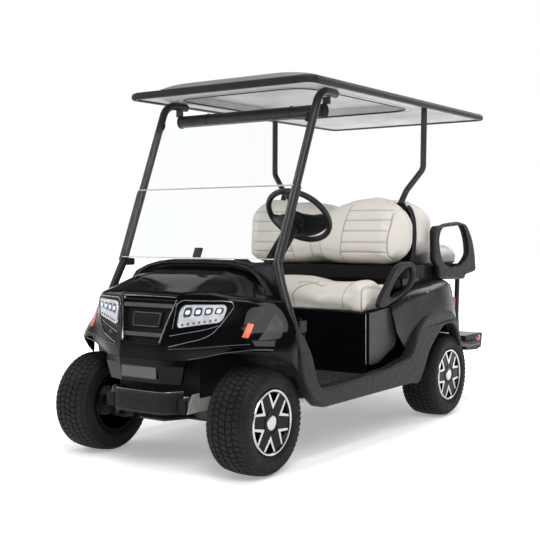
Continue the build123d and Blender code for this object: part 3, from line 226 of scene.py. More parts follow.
for row in frame["record"]["subparts"]:
    for socket in nodes[row["node"]].material_slots:
        socket.material = SHADE if row["node"] in DARK_NODES else SLOTS[row["material_slot"]]


# ---------------------------------------------------------------- building helpers
def dress(piece, material, replaces=(), sharp=35, body="chassis"):
    """Gives a piece its finish and its body, and hides the CAD nodes that it stands for."""
    if not piece.data.materials:
        piece.data.materials.append(material)
    piece.data.shade_smooth()
    piece.data.set_sharp_from_angle(angle=math.radians(sharp))
    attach(piece, body)
    if replaces:
        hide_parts(*replaces)
    return piece


def link(name, mesh):
    piece = bpy.data.objects.new(name, mesh)
    scene.collection.objects.link(piece)
    return piece


def tidied(mesh, weld=0.0):
    """Turns a mesh's faces outwards, after welding points that are closer than a distance in metres."""
    work = bmesh.new()
    work.from_mesh(mesh)
    if weld:
        bmesh.ops.remove_doubles(work, verts=work.verts, dist=weld)
    bmesh.ops.recalc_face_normals(work, faces=work.faces)
    work.to_mesh(mesh)
    work.free()
    return mesh


def mesh_in_metres(name, points, faces):
    mesh = bpy.data.meshes.new(name)
    mesh.from_pydata([tuple(point) for point in points], [], faces)
    return tidied(mesh)


def mesh_from(name, points, faces):
    """Mesh from (x, station, z) points in mm."""
    mesh = bpy.data.meshes.new(name)
    mesh.from_pydata([tuple(at(*point)) for point in points], [], faces)
    mesh.validate()
    mesh.update()
    return tidied(mesh)


def evaluated_mesh(piece):
    return bpy.data.meshes.new_from_object(piece.evaluated_get(bpy.context.evaluated_depsgraph_get()))


def apply_modifiers(piece):
    """Gives a piece the mesh that its modifiers make and clears them."""
    mesh = evaluated_mesh(piece)
    piece.modifiers.clear()
    piece.data = mesh
    return mesh


def add_wall(piece):
    """Makes a panel 4 mm thick, inwards."""
    wall = piece.modifiers.new("wall", "SOLIDIFY")
    wall.thickness, wall.offset = 0.004, -1
    return apply_modifiers(piece)


def grid_faces(rows, columns, closed=False):
    """Quads between rows of points; closed joins each row's end to its start."""
    faces = []
    for i in range(rows - 1):
        for j in range(columns if closed else columns - 1):
            k = (j + 1) % columns
            faces.append((i * columns + j, i * columns + k, (i + 1) * columns + k, (i + 1) * columns + j))
    return faces


def flat(loops, depth, bevel):
    """Mesh of a flat piece with rounded edges: first loop outside, later loops are windows."""
    curve = bpy.data.curves.new("outline", "CURVE")
    curve.dimensions = "2D"
    curve.fill_mode = "BOTH"
    curve.extrude = depth / 2000 - bevel / 1000
    curve.bevel_depth = bevel / 1000
    curve.bevel_resolution = 2
    curve.resolution_u = 1
    for loop in loops:
        spline = curve.splines.new("BEZIER")
        spline.bezier_points.add(len(loop) - 1)
        for point, (u, v) in zip(spline.bezier_points, loop):
            point.co = (u / 1000, v / 1000, 0)
            point.handle_left_type = point.handle_right_type = "VECTOR"
        spline.use_cyclic_u = True
    holder = link("outline", curve)
    mesh = evaluated_mesh(holder)
    bpy.data.objects.remove(holder)
    bpy.data.curves.remove(curve)
    return mesh


def side_plate(name, loops, x_low, x_high, bevel):
    """Flat piece drawn in side view, as (station, z), between two distances from the centre."""
    mesh = flat(loops, x_high - x_low, bevel)
    middle = (x_low + x_high) / 2000
    mesh.transform(Matrix(((0, 0, 1, middle), (1, 0, 0, -AXLE / 1000), (0, 1, 0, 0), (0, 0, 0, 1))))
    return link(name, mesh)


def gather(name, *meshes):
    """Joins several meshes into a new one."""
    merged = bmesh.new()
    for mesh in meshes:
        merged.from_mesh(mesh)
        bpy.data.meshes.remove(mesh)
    mesh = bpy.data.meshes.new(name)
    merged.to_mesh(mesh)
    merged.free()
    return mesh


def merge(name, *pieces):
    """Joins several pieces into one."""
    meshes = [piece.data for piece in pieces]
    for piece in pieces:
        bpy.data.objects.remove(piece)
    return link(name, gather(name, *meshes))


def with_mirror(piece):
    """Joins a piece with its mirror image on the other side of the cart."""
    mesh = piece.data.copy()
    mesh.transform(Matrix.Scale(-1, 4, (1, 0, 0)))
    mesh.flip_normals()
    name = piece.name
    return merge(name, piece, link(name + "_right", mesh))


def both_sides(piece, material, replaces=(), sharp=35):
    return dress(with_mirror(piece), material, replaces, sharp)


def bar(name, points, radius, sides=10, flatten=1.0):
    """Round or flattened bar that follows a line of points in mm."""
    path = [at(*point) for point in points]
    rings = []
    for i, centre in enumerate(path):
        ahead = (path[min(i + 1, len(path) - 1)] - path[max(i - 1, 0)]).normalized()
        across = ahead.cross(Vector((0, 0, 1)) if abs(ahead.z) < 0.95 else Vector((1, 0, 0))).normalized()
        up = across.cross(ahead)
        for j in range(sides):
            turn = 2 * math.pi * j / sides
            offset = across * math.cos(turn) + up * math.sin(turn) * flatten
            rings.append(centre + offset * radius / 1000)
    faces = grid_faces(len(path), sides, closed=True)
    faces += [tuple(range(sides)), tuple(range(len(rings) - sides, len(rings)))]
    return link(name, mesh_in_metres(name, rings, faces))


def cubic(t, span, values, slopes, i):
    """Smooth value between rows i and i + 1 of a table, at share t."""
    return (
        (2 * t**3 - 3 * t**2 + 1) * values[i] + (t**3 - 2 * t**2 + t) * span * slopes[i]
        + (3 * t**2 - 2 * t**3) * values[i + 1] + (t**3 - t**2) * span * slopes[i + 1]
    )


def soft_line(points, count):
    """Smooth line of evenly spaced points through a short table of points."""
    table = np.array(points, float)
    steps = np.linalg.norm(np.diff(table, axis=0), axis=1)
    reach = np.concatenate(([0], np.cumsum(steps)))
    slopes = np.gradient(table, reach, axis=0)
    out = []
    for place in np.linspace(0, reach[-1], count):
        i = min(int(np.searchsorted(reach, place, side="right")) - 1, len(reach) - 2)
        span = reach[i + 1] - reach[i]
        out.append(cubic((place - reach[i]) / span, span, table, slopes, i))
    return np.array(out)


def soft_value(places, values, place):
    """Smooth value between a few measured ones, row by row."""
    places, values = np.array(places, float), np.array(values, float)
    slopes = np.gradient(values, places, axis=0)
    i = int(np.clip(np.searchsorted(places, place) - 1, 0, len(places) - 2))
    span = places[i + 1] - places[i]
    return cubic((place - places[i]) / span, span, values, slopes, i)


def lift(points, value):
    """Straight-line value from a table of (place, value)."""
    table = np.array(points, float)
    return np.interp(value, table[:, 0], table[:, 1])


def curl(share, power=2):
    """How far a rounded edge has turned away, from 0 to 1."""
    return 1 - math.sqrt(max(0.0, 1 - share**power))


# ---------------------------------------------------------------- wheels
WHEELS = (
    ("front_left", 1, 0, 442, 22), ("front_right", -1, 0, 442, 22),
    ("rear_left", 1, WHEELBASE, 460, 30), ("rear_right", -1, WHEELBASE, 460, 30),
)
TYRE_LINE = (
    (80, 131), (84, 133), (86, 141), (92, 147), (97, 158), (99.5, 172), (99.5, 184), (97, 196), (92, 207), (86, 214),
    (78, 218), (50, 220.5), (0, 221.5),
)
# Rows of tread blocks: inner and outer edge across the tyre, skew round it, share of the pitch.
TREAD_ROWS = (
    (-15, 15, 0.35, 0.86), (19, 46, -0.3, 0.84), (50, 78, 0.25, 0.8), (-46, -19, 0.3, 0.84), (-78, -50, -0.25, 0.8),
)
SHOULDER_ROWS = ((81, 97, 0.1, 0.62), (-97, -81, 0.1, 0.62))
BLOCKS = 54
TYRE_SEGMENTS = 120
BLOCK_FACES = (
    (6, 7, 10, 9), (7, 8, 11, 10), (0, 6, 9, 3), (5, 11, 8, 2), (0, 1, 7, 6), (1, 2, 8, 7), (3, 9, 10, 4),
    (4, 10, 11, 5),
)
BARREL_LINE = (
    (-88, 121), (-93, 127), (-93, 137), (-89, 138), (-85, 128), (-62, 122), (-40, 108), (30, 108), (60, 118), (80, 123),
    (85, 128), (89, 138), (93, 137), (93.5, 131), (90, 126), (82, 121), (70, 116), (62, 112), (60, 100),
    (52, 60), (50, 20),
)


def wheel_place(side, station, distance):
    """Turns wheel coordinates (outwards, back, up) in metres into the cart's frame."""
    turn = Matrix.Rotation(0 if side > 0 else math.pi, 4, "Z")
    return Matrix.Translation(at(side * distance, station, WHEEL_HEIGHT)) @ turn


def ring_mesh(line, segments):
    """Surface turned round the axle from a line of (outwards, radius) in mm."""
    points, faces = [], grid_faces(segments, len(line))
    for i in range(segments):
        turn = 2 * math.pi * i / segments
        points += [(x / 1000, -r * math.sin(turn) / 1000, r * math.cos(turn) / 1000) for x, r in line]
    last = (segments - 1) * len(line)
    faces += [(last + j, last + j + 1, j + 1, j) for j in range(len(line) - 1)]
    return mesh_in_metres("ring", points, faces)


def crown(x):
    """Radius of the tread's face at a distance from its middle."""
    return 227.6 - (abs(x) / 80) ** 2.4 * 6.5


def tread_mesh():
    """Skewed tread blocks in rows round the tyre, the shoulders' ones lower."""
    points, faces = [], []
    pitch = 2 * math.pi / BLOCKS
    for index, (x_low, x_high, skew, fill) in enumerate(TREAD_ROWS + SHOULDER_ROWS):
        shoulder = index >= len(TREAD_ROWS)
        for block in range(BLOCKS):
            start = (block + 0.5 * (index % 2)) * pitch
            base = len(points)
            for level in (0, 1):
                shrink = 0.0 if level == 0 else 0.9
                for x, edge in ((x_low + shrink, 0), (x_high - shrink, 1)):
                    for part in (0, 0.5, 1):
                        bend = skew * edge * pitch
                        turn = start + bend + (part * (fill - 0.03 * level) + 0.015 * level) * pitch
                        if shoulder:
                            outer = abs(x) > 89
                            radius = (203.5 if outer else 216) + (2.6 if level else -3)
                        else:
                            radius = crown(x) if level else 218
                        points.append((x / 1000, -radius * math.sin(turn) / 1000, radius * math.cos(turn) / 1000))
            faces += [tuple(base + corner for corner in face) for face in BLOCK_FACES]
    return mesh_in_metres("tread", points, faces)


def polar(radius, angle):
    return (radius * math.cos(math.radians(angle)), radius * math.sin(math.radians(angle)))


def circle(radius, count=48):
    return [polar(radius, 360 * i / count) for i in range(count)]


def in_wheel(mesh, outwards):
    """Lifts a flat mesh drawn in the wheel's plane (back, up) to its distance outwards."""
    mesh.transform(Matrix(((0, 0, 1, outwards / 1000), (1, 0, 0, 0), (0, 1, 0, 0), (0, 0, 0, 1))))
    return mesh


def build_wheels():
    line = list(TYRE_LINE) + [(-x, r) for x, r in reversed(TYRE_LINE[:-1])]
    casing = ring_mesh(soft_line(line, 54), TYRE_SEGMENTS)
    for radius, width in ((162, 1.2), (186, 1.4)):
        for side in (1, -1):
            x = side * (97.6 if radius < 170 else 98.6)
            foot, top = x - side * 2, x + side * width
            ring = [(foot, radius - 4), (top, radius - 1.6), (top, radius + 1.6), (foot, radius + 4)]
            casing = gather("casing", casing, ring_mesh(ring, TYRE_SEGMENTS))
    treads = tread_mesh()
    barrel = ring_mesh(BARREL_LINE, 96)
    edge = ring_mesh([(91.5, 128), (94.2, 131), (94.2, 136.5), (90.5, 139), (90, 132)], 96)
    for name, side, station, distance, phase in WHEELS:
        body = "wheel_" + name
        place = wheel_place(side, station, distance)

        def fit(part, mesh, material, replaces=(), sharp=35):
            mesh.transform(place)
            dress(link(part + "_" + name, mesh), material, replaces, sharp, body)

        fit("tyre_casing", casing.copy(), RUBBER, ["tyre_" + name], 50)
        fit("tyre_tread", treads.copy(), RUBBER, sharp=25)
        pockets, lines = [], []
        for index in range(6):
            middle = phase + 60 * index
            arc = [(72, 0), (123, 15)] + [(124.5, a) for a in (10, 5, 0, -5, -10)] + [(123, -15)]
            pockets.append([polar(radius, middle + angle) for radius, angle in arc])
            vee = ((57, 0), (131, 19.2), (131, 15.4), (77, 0), (131, -15.4), (131, -19.2))
            outline = [polar(radius, middle + angle) for radius, angle in vee]
            lines.append(in_wheel(flat([outline], 3.4, 0.9), 87))
        face = in_wheel(flat([circle(130)] + pockets, 10, 1.2), 82)
        dish = in_wheel(flat([circle(112)], 4, 1), 52)
        hub = ring_mesh([(80, 54), (88, 52), (89, 48), (86, 41), (84, 35), (80, 34)], 60)
        bolts = []
        for index in range(5):
            bolt = flat([circle(5, 6)], 5, 1)
            bolt.transform(Matrix.Translation(Vector((*polar(44, phase + 30 + 72 * index), 0)) / 1000))
            bolts.append(in_wheel(bolt, 86))
        black = gather("rim_black", barrel.copy(), face, dish, hub, *bolts)
        fit("rim_black", black, RIM, ["rim_" + name])
        fit("rim_bright", gather("rim_bright", edge.copy(), *lines), BRIGHT)
        cap = ring_mesh([(82, 33), (88, 32.5), (91, 28), (92, 20), (91, 16), (92.2, 9), (92.6, 0.4)], 48)
        fit("wheel_cap", cap, BRIGHT)


build_wheels()


# ---------------------------------------------------------------- seats
PAD_VOXEL = 0.008  # metres
PAD_PRESSURE = 4.0
CLOTH_STEPS = 14
PAD_COLUMNS, BACKREST_ROWS, CUSHION_ROWS = 61, 21, 25
EDGE_ROLL = 96  # mm over which a backrest's end rolls off
SIDE_ROLL = 60  # the same for a cushion


def shell_solid(name, front, back):
    """Closed surface between a front and a back grid of points of the same size."""
    rows, columns = front.shape[:2]
    points = list(front.reshape(-1, 3)) + list(back.reshape(-1, 3))
    faces = grid_faces(rows, columns)
    count = rows * columns
    faces += [tuple(count + k for k in reversed(face)) for face in grid_faces(rows, columns)]
    rim = list(range(columns)) + [i * columns + columns - 1 for i in range(1, rows)]
    rim += [(rows - 1) * columns + j for j in range(columns - 2, -1, -1)]
    rim += [i * columns for i in range(rows - 2, 0, -1)]
    for a, b in zip(rim, rim[1:] + rim[:1]):
        faces.append((a, count + a, count + b, b))
    return link(name, mesh_from(name, points, faces))


def read_points(mesh, key="co"):
    values = np.empty(len(mesh.vertices) * 3)
    mesh.vertices.foreach_get(key, values)
    return values.reshape(-1, 3)


def swell(piece, start, cap):
    """Where a pad's points go when it swells as cloth, none further than the cap in mm."""
    cloth = piece.modifiers.new("cloth", "CLOTH")
    settings = cloth.settings
    settings.use_pressure = True
    settings.uniform_pressure_force = PAD_PRESSURE
    settings.quality = 4
    settings.effector_weights.gravity = 0
    settings.tension_stiffness = settings.compression_stiffness = 25
    settings.bending_stiffness = 4
    cloth.collision_settings.use_collision = False
    for step in range(1, CLOTH_STEPS + 1):
        scene.frame_set(step)
    swollen = read_points(piece.evaluated_get(bpy.context.evaluated_depsgraph_get()).to_mesh())
    move = swollen - start
    reach = np.linalg.norm(move, axis=1, keepdims=True)
    piece.modifiers.clear()
    scene.frame_set(1)
    return start + move * np.minimum(1, cap / 1000 / np.maximum(reach, 1e-9))


def inflate(piece, cap):
    """Remeshes a pad, swells it as cloth, limits how far it moved and smooths it once."""
    bpy.context.view_layer.objects.active = piece
    remesh = piece.modifiers.new("remesh", "REMESH")
    remesh.mode = "VOXEL"
    remesh.voxel_size = PAD_VOXEL
    mesh = apply_modifiers(piece)
    points = read_points(mesh)
    points = swell(piece, points, cap)
    mesh.vertices.foreach_set("co", points.ravel())
    smooth = piece.modifiers.new("smooth", "SMOOTH")
    smooth.factor, smooth.iterations = 0.5, 6
    fine = piece.modifiers.new("fine", "SUBSURF")
    fine.levels = fine.render_levels = 1
    apply_modifiers(piece)
    return piece


def distance_to_line(places, line):
    """Distance of each 2-D place from a bent line."""
    best = np.full(len(places), 1e9)
    for a, b in zip(line[:-1], line[1:]):
        a, b = np.array(a, float), np.array(b, float)
        run = b - a
        share = np.clip(((places - a) @ run) / max(run @ run, 1e-9), 0, 1)
        best = np.minimum(best, np.linalg.norm(places - a - share[:, None] * run, axis=1))
    return best


def stitch(piece, grooves):
    """Presses sewn lines into a pad and darkens them, partly as the seams' own dark line and partly as painted shade
    that deepens with the groove: plane, line, width, depth and where each one holds.
    """
    mesh = piece.data
    co, normal = read_points(mesh) * 1000, read_points(mesh, "normal")
    co[:, 1] += AXLE
    sunk, dark = np.zeros(len(co)), np.zeros(len(co))
    for axes, line, width, depth, keep in grooves:
        gap = distance_to_line(co[:, axes], soft_line(line, 24) if len(line) > 2 else np.array(line, float))
        here = keep(co, normal)
        sunk = np.maximum(sunk, depth * np.exp(-((gap / width) ** 2)) * here)
        # Darkness along each sewn line: partly its own dark line, partly painted shade, stronger in deeper grooves.
        dark = np.maximum(dark, np.exp(-((gap / 2.2) ** 2)) * here * min(1, depth / 4))
    co = co - normal * sunk[:, None]
    co[:, 1] -= AXLE
    mesh.vertices.foreach_set("co", (co / 1000).ravel())
    shade = mesh.attributes.new("seam_and_shade", "FLOAT", "POINT")
    shade.data.foreach_set("value", dark)
    mesh.update()


def backrest(name, half, top, bottom, front, back):
    """Bench backrest of two buckets: tables give heights across x and depths over z."""
    faces = np.zeros((2, BACKREST_ROWS, PAD_COLUMNS, 3))
    for j, share in enumerate(np.linspace(-1, 1, PAD_COLUMNS)):
        x = share * half
        high, low = lift(top, abs(x)), lift(bottom, abs(x))
        round_off = curl(max(0.0, (abs(x) - (half - EDGE_ROLL)) / EDGE_ROLL), 2.2)
        for i in range(BACKREST_ROWS):
            z = low + (high - low) * i / (BACKREST_ROWS - 1)
            near_top = max(0.0, 1 - (high - z) / 60)
            near_low = max(0.0, 1 - (z - low) / 46)
            y_front, y_back = lift(front, z), lift(back, z)
            dish = 16 * math.exp(-(((abs(x) - 300) / 92) ** 2)) * min(1, max(0, (high - z) / 120))
            middle = y_front * 0.45 + y_back * 0.55
            y_front += dish
            pull = max(round_off, curl(near_top), 0.8 * curl(near_low))
            tail = max(0.4 * round_off, 0.8 * curl(near_top), 0.6 * near_low**2)
            faces[0, i, j] = (x, y_front + (middle - y_front) * pull, z)
            faces[1, i, j] = (x, y_back + (middle - y_back) * tail, z)
    return inflate(shell_solid(name, *faces), 8)


def pad_cushion(name, half, top, front_line, low):
    """Seat cushion: height table across x, rounded front line as (station, share of the height)."""
    upper, lower = np.zeros((2, CUSHION_ROWS, PAD_COLUMNS, 3))
    front = front_line[0][0]
    line = soft_line(front_line, CUSHION_ROWS)
    for j, share in enumerate(np.linspace(-1, 1, PAD_COLUMNS)):
        x = share * half
        height = lift(top, abs(x)) - low
        side = max(0.0, (abs(x) - (half - SIDE_ROLL)) / SIDE_ROLL)
        for i, (y, rise) in enumerate(line):
            shrink = 26 * side**2 * max(0.0, 1 - (y - front) / 120)
            upper[i, j] = (x, y + shrink, low + max(2.0, height * rise * (1 - 0.42 * curl(side))))
            lower[i, j] = (x * 0.985, max(y, front + 14) + shrink, low)
    return inflate(shell_solid(name, upper, lower), 9)


def in_front(co, normal):
    return np.clip(-normal[:, 1] * 1.6, 0, 1)


def behind(co, normal):
    return np.clip(normal[:, 1] * 1.6, 0, 1)


def on_top(co, normal):
    return np.clip(normal[:, 2] * 2 - 0.3, 0, 1)


def in_front_low(co, normal):
    return in_front(co, normal) * (co[:, 1] < 905)


def right_end(co, normal):
    return (co[:, 0] < -380) * 1.0


def left_end(co, normal):
    return (co[:, 0] > 380) * 1.0


YZ, XZ, XY = [1, 2], [0, 2], [0, 1]
PAD_LEFT = ((199, 1152), (183, 1089), (168, 1022), (159, 949), (152, 888), (160, 845))
PAD_RIGHT = ((470, 1160), (448, 1104), (433, 1022), (427, 951), (434, 880), (462, 836))
CHANNELS = (1127, 1074, 1019, 959, 907)
REAR_LEFT = ((150, 900), (160, 1000), (178, 1100), (190, 1160))
REAR_RIGHT = ((400, 900), (408, 1000), (398, 1090), (384, 1150))
REAR_CHANNELS = (1100, 1040, 985, 935)
END_SEAM = ((1310, 850), (1322, 950), (1324, 1046), (1306, 1124), (1262, 1180))
CUSHION_SEAMS = (
    ((62, 862, 640), (62, 862, 690), (84, 872, 725), (140, 890, 752), (230, 905, 766)),
    ((350, 860, 628), (353, 860, 690), (370, 880, 745), (402, 930, 766), (420, 1100, 766)),
    ((452, 860, 628), (452, 860, 690), (456, 880, 740), (462, 930, 760), (462, 1100, 760)),
)


def bucket_grooves(keep, pad_left, pad_right, channels):
    """Two edge seams and the channels between them on each of a backrest's buckets."""
    grooves = []
    for side in (1, -1):
        grooves += [(XZ, [(side * x, z) for x, z in line], 3.4, 6.5, keep) for line in (pad_left, pad_right)]
        for z in channels:
            x_low = lift(sorted((z, x) for x, z in pad_left), z)
            x_high = lift(sorted((z, x) for x, z in pad_right), z)
            grooves.append((XZ, [(side * x_low, z), (side * x_high, z)], 4.5, 3.6, keep))
    return grooves


def build_seats():
    rest = backrest(
        "front_backrest_pad", 487,
        (
            (0, 1134), (40, 1142), (110, 1168), (190, 1190), (260, 1199), (340, 1202), (400, 1186), (450, 1144),
            (487, 1050),
        ),
        ((0, 862), (30, 858), (90, 845), (170, 841), (380, 841), (430, 852), (466, 888), (487, 950)),
        ((840, 1172), (900, 1166), (980, 1166), (1080, 1182), (1160, 1200), (1205, 1222)),
        ((840, 1305), (880, 1362), (960, 1390), (1060, 1392), (1130, 1362), (1205, 1286)),
    )
    grooves = bucket_grooves(in_front, PAD_LEFT, PAD_RIGHT, CHANNELS)
    for side, end in ((1, left_end), (-1, right_end)):
        grooves.append((YZ, END_SEAM, 3.0, 4.0, end))
        grooves.append((XZ, [(side * 28, 845), (side * 30, 960)], 3.0, 4.0, in_front))
    stitch(rest, grooves)
    dress(rest, VINYL, ["front_backrest"], 60)
    rest = backrest(
        "rear_backrest_pad", 460,
        ((0, 1126), (60, 1140), (150, 1176), (260, 1190), (340, 1190), (400, 1166), (440, 1110), (460, 1020)),
        ((0, 884), (380, 880), (430, 894), (460, 960)),
        ((880, 1664), (930, 1708), (1000, 1722), (1080, 1704), (1150, 1640), (1190, 1556)),
        ((880, 1562), (940, 1480), (1010, 1450), (1100, 1444), (1160, 1456), (1190, 1490)),
    )
    stitch(rest, bucket_grooves(behind, REAR_LEFT, REAR_RIGHT, REAR_CHANNELS))
    dress(rest, VINYL, ["rear_backrest"], 60)
    seat = pad_cushion(
        "front_cushion_pad", 474,
        ((0, 782), (100, 779), (187, 763), (220, 754), (300, 754), (370, 757), (410, 766), (445, 774), (474, 768)),
        (
            (856, 0.0), (852, 0.3), (856, 0.62), (872, 0.86), (905, 0.96), (960, 1.0), (1010, 0.98), (1060, 0.86),
            (1110, 0.66), (1140, 0.45), (1144, 0.0),
        ),
        621,
    )
    grooves = []
    for side in (1, -1):
        for table in CUSHION_SEAMS:
            x, y, _ = table[-1]
            face = [(side * x, z) for x, y, z in table if y < 1000]
            crest = [(side * x, y) for x, y, z in table if y > 870] + [(side * x, y + 6)]
            grooves += [(XZ, face, 3.0, 5.0, in_front_low), (XY, crest, 3.0, 5.0, on_top)]
    stitch(seat, grooves)
    dress(seat, VINYL, ["front_cushion"], 60, "front_seat")
    seat = pad_cushion(
        "rear_cushion_pad", 426,
        ((0, 912), (120, 922), (300, 930), (380, 928), (426, 910)),
        (
            (1696, 0.0), (1694, 0.4), (1702, 0.82), (1730, 0.98), (1800, 1.0), (1960, 1.0), (2010, 0.95), (2036, 0.78),
            (2044, 0.45), (2040, 0.0),
        ),
        829,
    )
    grooves = [
        (XY, [(side * x, 1700), (side * x, 2050)], 3.0, 4.5, on_top) for side in (1, -1) for x in (60, 380)
    ]
    grooves += [(XY, [(-380, y), (380, y)], 4.0, 3.0, on_top) for y in (1790, 1880, 1970)]
    stitch(seat, grooves)
    dress(seat, VINYL, ["rear_cushion"], 60, "rear_seat")


def build_shells():
    """Dark crescents between the two backrests."""
    view = [
        (1306, 1146), (1350, 1118), (1382, 1068), (1394, 1000), (1384, 920), (1354, 846), (1414, 846), (1444, 905),
        (1454, 1000), (1444, 1082), (1408, 1140), (1352, 1168),
    ]
    piece = moulding("backrest_crescent", view, [], 300, 462, 8, 26)
    both_sides(piece, SHADE, ["backrest_shells"])


build_seats()


# ---------------------------------------------------------------- nose
# Outline in plan of half the nose at each height; the second point is the grille's edge.
NOSE_LEVELS = (
    (480, ((0, -229), (113, -229), (226, -186), (352, -124), (470, -70), (560, 0), (592, 50), (595, 96))),
    (545, ((0, -220), (118, -218), (235, -178), (356, -120), (500, -56), (566, 10), (590, 52), (595, 96))),
    (612, ((0, -196), (140, -196), (240, -152), (350, -104), (506, 4), (552, 52), (572, 74), (584, 96))),
    (730, ((0, -160), (166, -158), (260, -122), (370, -75), (474, 34), (502, 65), (513, 80), (522, 96))),
    (900, ((0, -110), (190, -108), (270, -72), (370, -30), (440, 52), (460, 75), (469, 86), (476, 96))),
)
BONNET_X = (0, 190, 290, 370, 450, 520, 700)
BONNET_STATIONS = (-240, -155, 60, 190, 340)
BONNET_HEIGHTS = (
    (733, 731, 722, 706, 690, 668, 620), (757, 755, 742, 724, 708, 690, 660), (833, 831, 814, 776, 740, 722, 705),
    (862, 860, 839, 795, 747, 731, 722), (862, 860, 839, 795, 747, 736, 735),
)
ARCH = ((-230, 480), (-186, 482), (-124, 510), (-100, 540), (-35, 530), (37, 485), (96, 432))
NOSE_GRILLE, NOSE_SIDE, NOSE_ROWS, BONNET_ROWS = 13, 84, 40, 34


def blur(values, reach):
    """Rounds off an evenly sampled table with a soft window."""
    window = np.exp(-((np.arange(-3 * reach, 3 * reach + 1) / reach) ** 2))
    before, after = 2 * values[0] - values[3 * reach:0:-1], 2 * values[-1] - values[-2:-3 * reach - 2:-1]
    padded = np.concatenate((before, values, after))
    return np.convolve(padded, window / window.sum(), mode="valid")


BONNET_GRID = np.array([
    blur(np.interp(np.abs(np.arange(-705, 706, 5)), BONNET_X, row), 4)[141:] for row in BONNET_HEIGHTS
])


def bonnet_z(x, y):
    """Height of the bonnet's surface."""
    column = min(abs(x) / 5, BONNET_GRID.shape[1] - 1)
    rows = [np.interp(column, np.arange(BONNET_GRID.shape[1]), row) for row in BONNET_GRID]
    return float(soft_value(BONNET_STATIONS, rows, y))


def nose_columns():
    """Evenly spread plan points on each level: level, column, (x, station)."""
    table = []
    for _, outline in NOSE_LEVELS:
        start, run = np.array(outline[0], float), np.array(outline[1]) - outline[0]
        centre = [start + run * k / NOSE_GRILLE for k in range(NOSE_GRILLE)]
        table.append(centre + list(soft_line(outline[1:], NOSE_SIDE)))
    return np.array(table)


NOSE_TABLE = nose_columns()
NOSE_Z = [height for height, _ in NOSE_LEVELS]


def nose_point(x, z, proud=0.0):
    """Point on the nose wall at a distance across and a height, moved outwards a little."""
    line = soft_value(NOSE_Z, NOSE_TABLE, z)
    i = int(np.clip(np.searchsorted(line[:, 0], x), 1, len(line) - 1))
    ahead = line[i] - line[i - 1]
    share = np.clip((x - line[i - 1, 0]) / max(ahead[0], 1e-6), 0, 1)
    here = line[i - 1] + ahead * share
    size = np.linalg.norm(ahead)
    return (here[0] + ahead[1] / size * proud, here[1] - ahead[0] / size * proud, z)




def build_cowl():
    columns = NOSE_TABLE.shape[1]
    points, rows = [], NOSE_ROWS + BONNET_ROWS
    edge = 16
    for j in range(columns):
        column = NOSE_TABLE[:, j]
        bottom = lift(ARCH, soft_value(NOSE_Z, column, 500)[1])
        low, high = 600.0, 890.0
        for _ in range(20):
            z = (low + high) / 2
            low, high = (z, high) if bonnet_z(*soft_value(NOSE_Z, column, z)) > z else (low, z)
        top = low
        x_top, y_top = soft_value(NOSE_Z, column, top)
        lip = float(np.interp(x_top, (405, 432), (180, 97)))
        run = max(1.5, lip - y_top)
        for i in range(NOSE_ROWS):
            z = bottom + (top - edge - bottom) * i / (NOSE_ROWS - 1)
            points.append((*soft_value(NOSE_Z, column, z), z))
        start = np.array((*soft_value(NOSE_Z, column, top - edge), top - edge))
        corner = np.array((x_top, y_top, top))
        x_in = x_top * (1 - min(edge, run) / 600)
        end = np.array((x_in, y_top + min(edge, run), bonnet_z(x_in, y_top + min(edge, run))))
        for i in range(BONNET_ROWS):
            if i < 6:
                t = (i + 1) / 6
                points.append(tuple(start * (1 - t) ** 2 + corner * 2 * t * (1 - t) + end * t**2))
            else:
                y = end[1] + max(0.5, lip - end[1]) * (i - 5) / (BONNET_ROWS - 6)
                points.append((x_in, y, bonnet_z(x_in, y)))
    faces = [tuple(reversed(face)) for face in grid_faces(columns, rows)]
    heights = np.array([point[2] for point in points])
    kept = []
    for face in faces:
        in_grille = max(k // rows for k in face) < NOSE_GRILLE and max(k % rows for k in face) < NOSE_ROWS + 3
        if not (in_grille and 541 < np.mean(heights[list(face)]) < 733):
            kept.append(face)
    skin = with_mirror(link("cowl_skin", mesh_from("cowl_skin", points, kept)))
    tidied(skin.data, weld=0.0004)
    add_wall(skin)
    dress(skin, GLOSS, ["front_cowl"], 42)




def nose_line(name, points, radius, proud, count=26, sides=8):
    """Bar that lies on the nose, through (x, z) points in front view."""
    return bar(name, [nose_point(x, z, proud) for x, z in soft_line(points, count)], radius, sides)


def corner_cut(v, low, high):
    """How far a rounded corner draws a side in at share v of the height; radii are shares."""
    if low and v < low:
        return low * curl(1 - v / low)
    if high and v > 1 - high:
        return high * curl((v - 1 + high) / high)
    return 0.0


def nose_patch(name, loop, proud, thick, columns=26, rows=12, corners=(0, 0, 0, 0)):
    """Thin curved plate on the nose between four (x, z) corners: low inner, low outer, high outer, high inner."""
    a, b, c, d = (np.array(point, float) for point in loop)
    grids = []
    for depth in (proud, proud - thick):
        grid = np.zeros((rows, columns, 3))
        for i in range(rows):
            for j in range(columns):
                u, v = j / (columns - 1), i / (rows - 1)
                v = 0.5 - 0.5 * math.cos(math.pi * v) if any(corners) else v
                tall = 0.6 * np.linalg.norm(d - a) / np.linalg.norm(b - a)
                left = corner_cut(v, corners[0], corners[3]) * tall
                right = corner_cut(v, corners[1], corners[2]) * tall
                u = left + (1 - left - right) * u
                if depth == proud:
                    u, v = 0.012 + 0.976 * u, 0.03 + 0.94 * v
                x, z = (a * (1 - u) + b * u) * (1 - v) + (d * (1 - u) + c * u) * v
                grid[i, j] = nose_point(x, z, depth)
        grids.append(grid)
    return shell_solid(name, *grids)


LAMP_CORNERS = (0.2, 0.3, 0.34, 0.45)
LAMP_TOP_CREASE = (
    (160, 700), (164, 718), (176, 727), (230, 730), (300, 730), (360, 729), (380, 724), (386, 713), (380, 694),
    (367, 670), (350, 642), (336, 622),
)


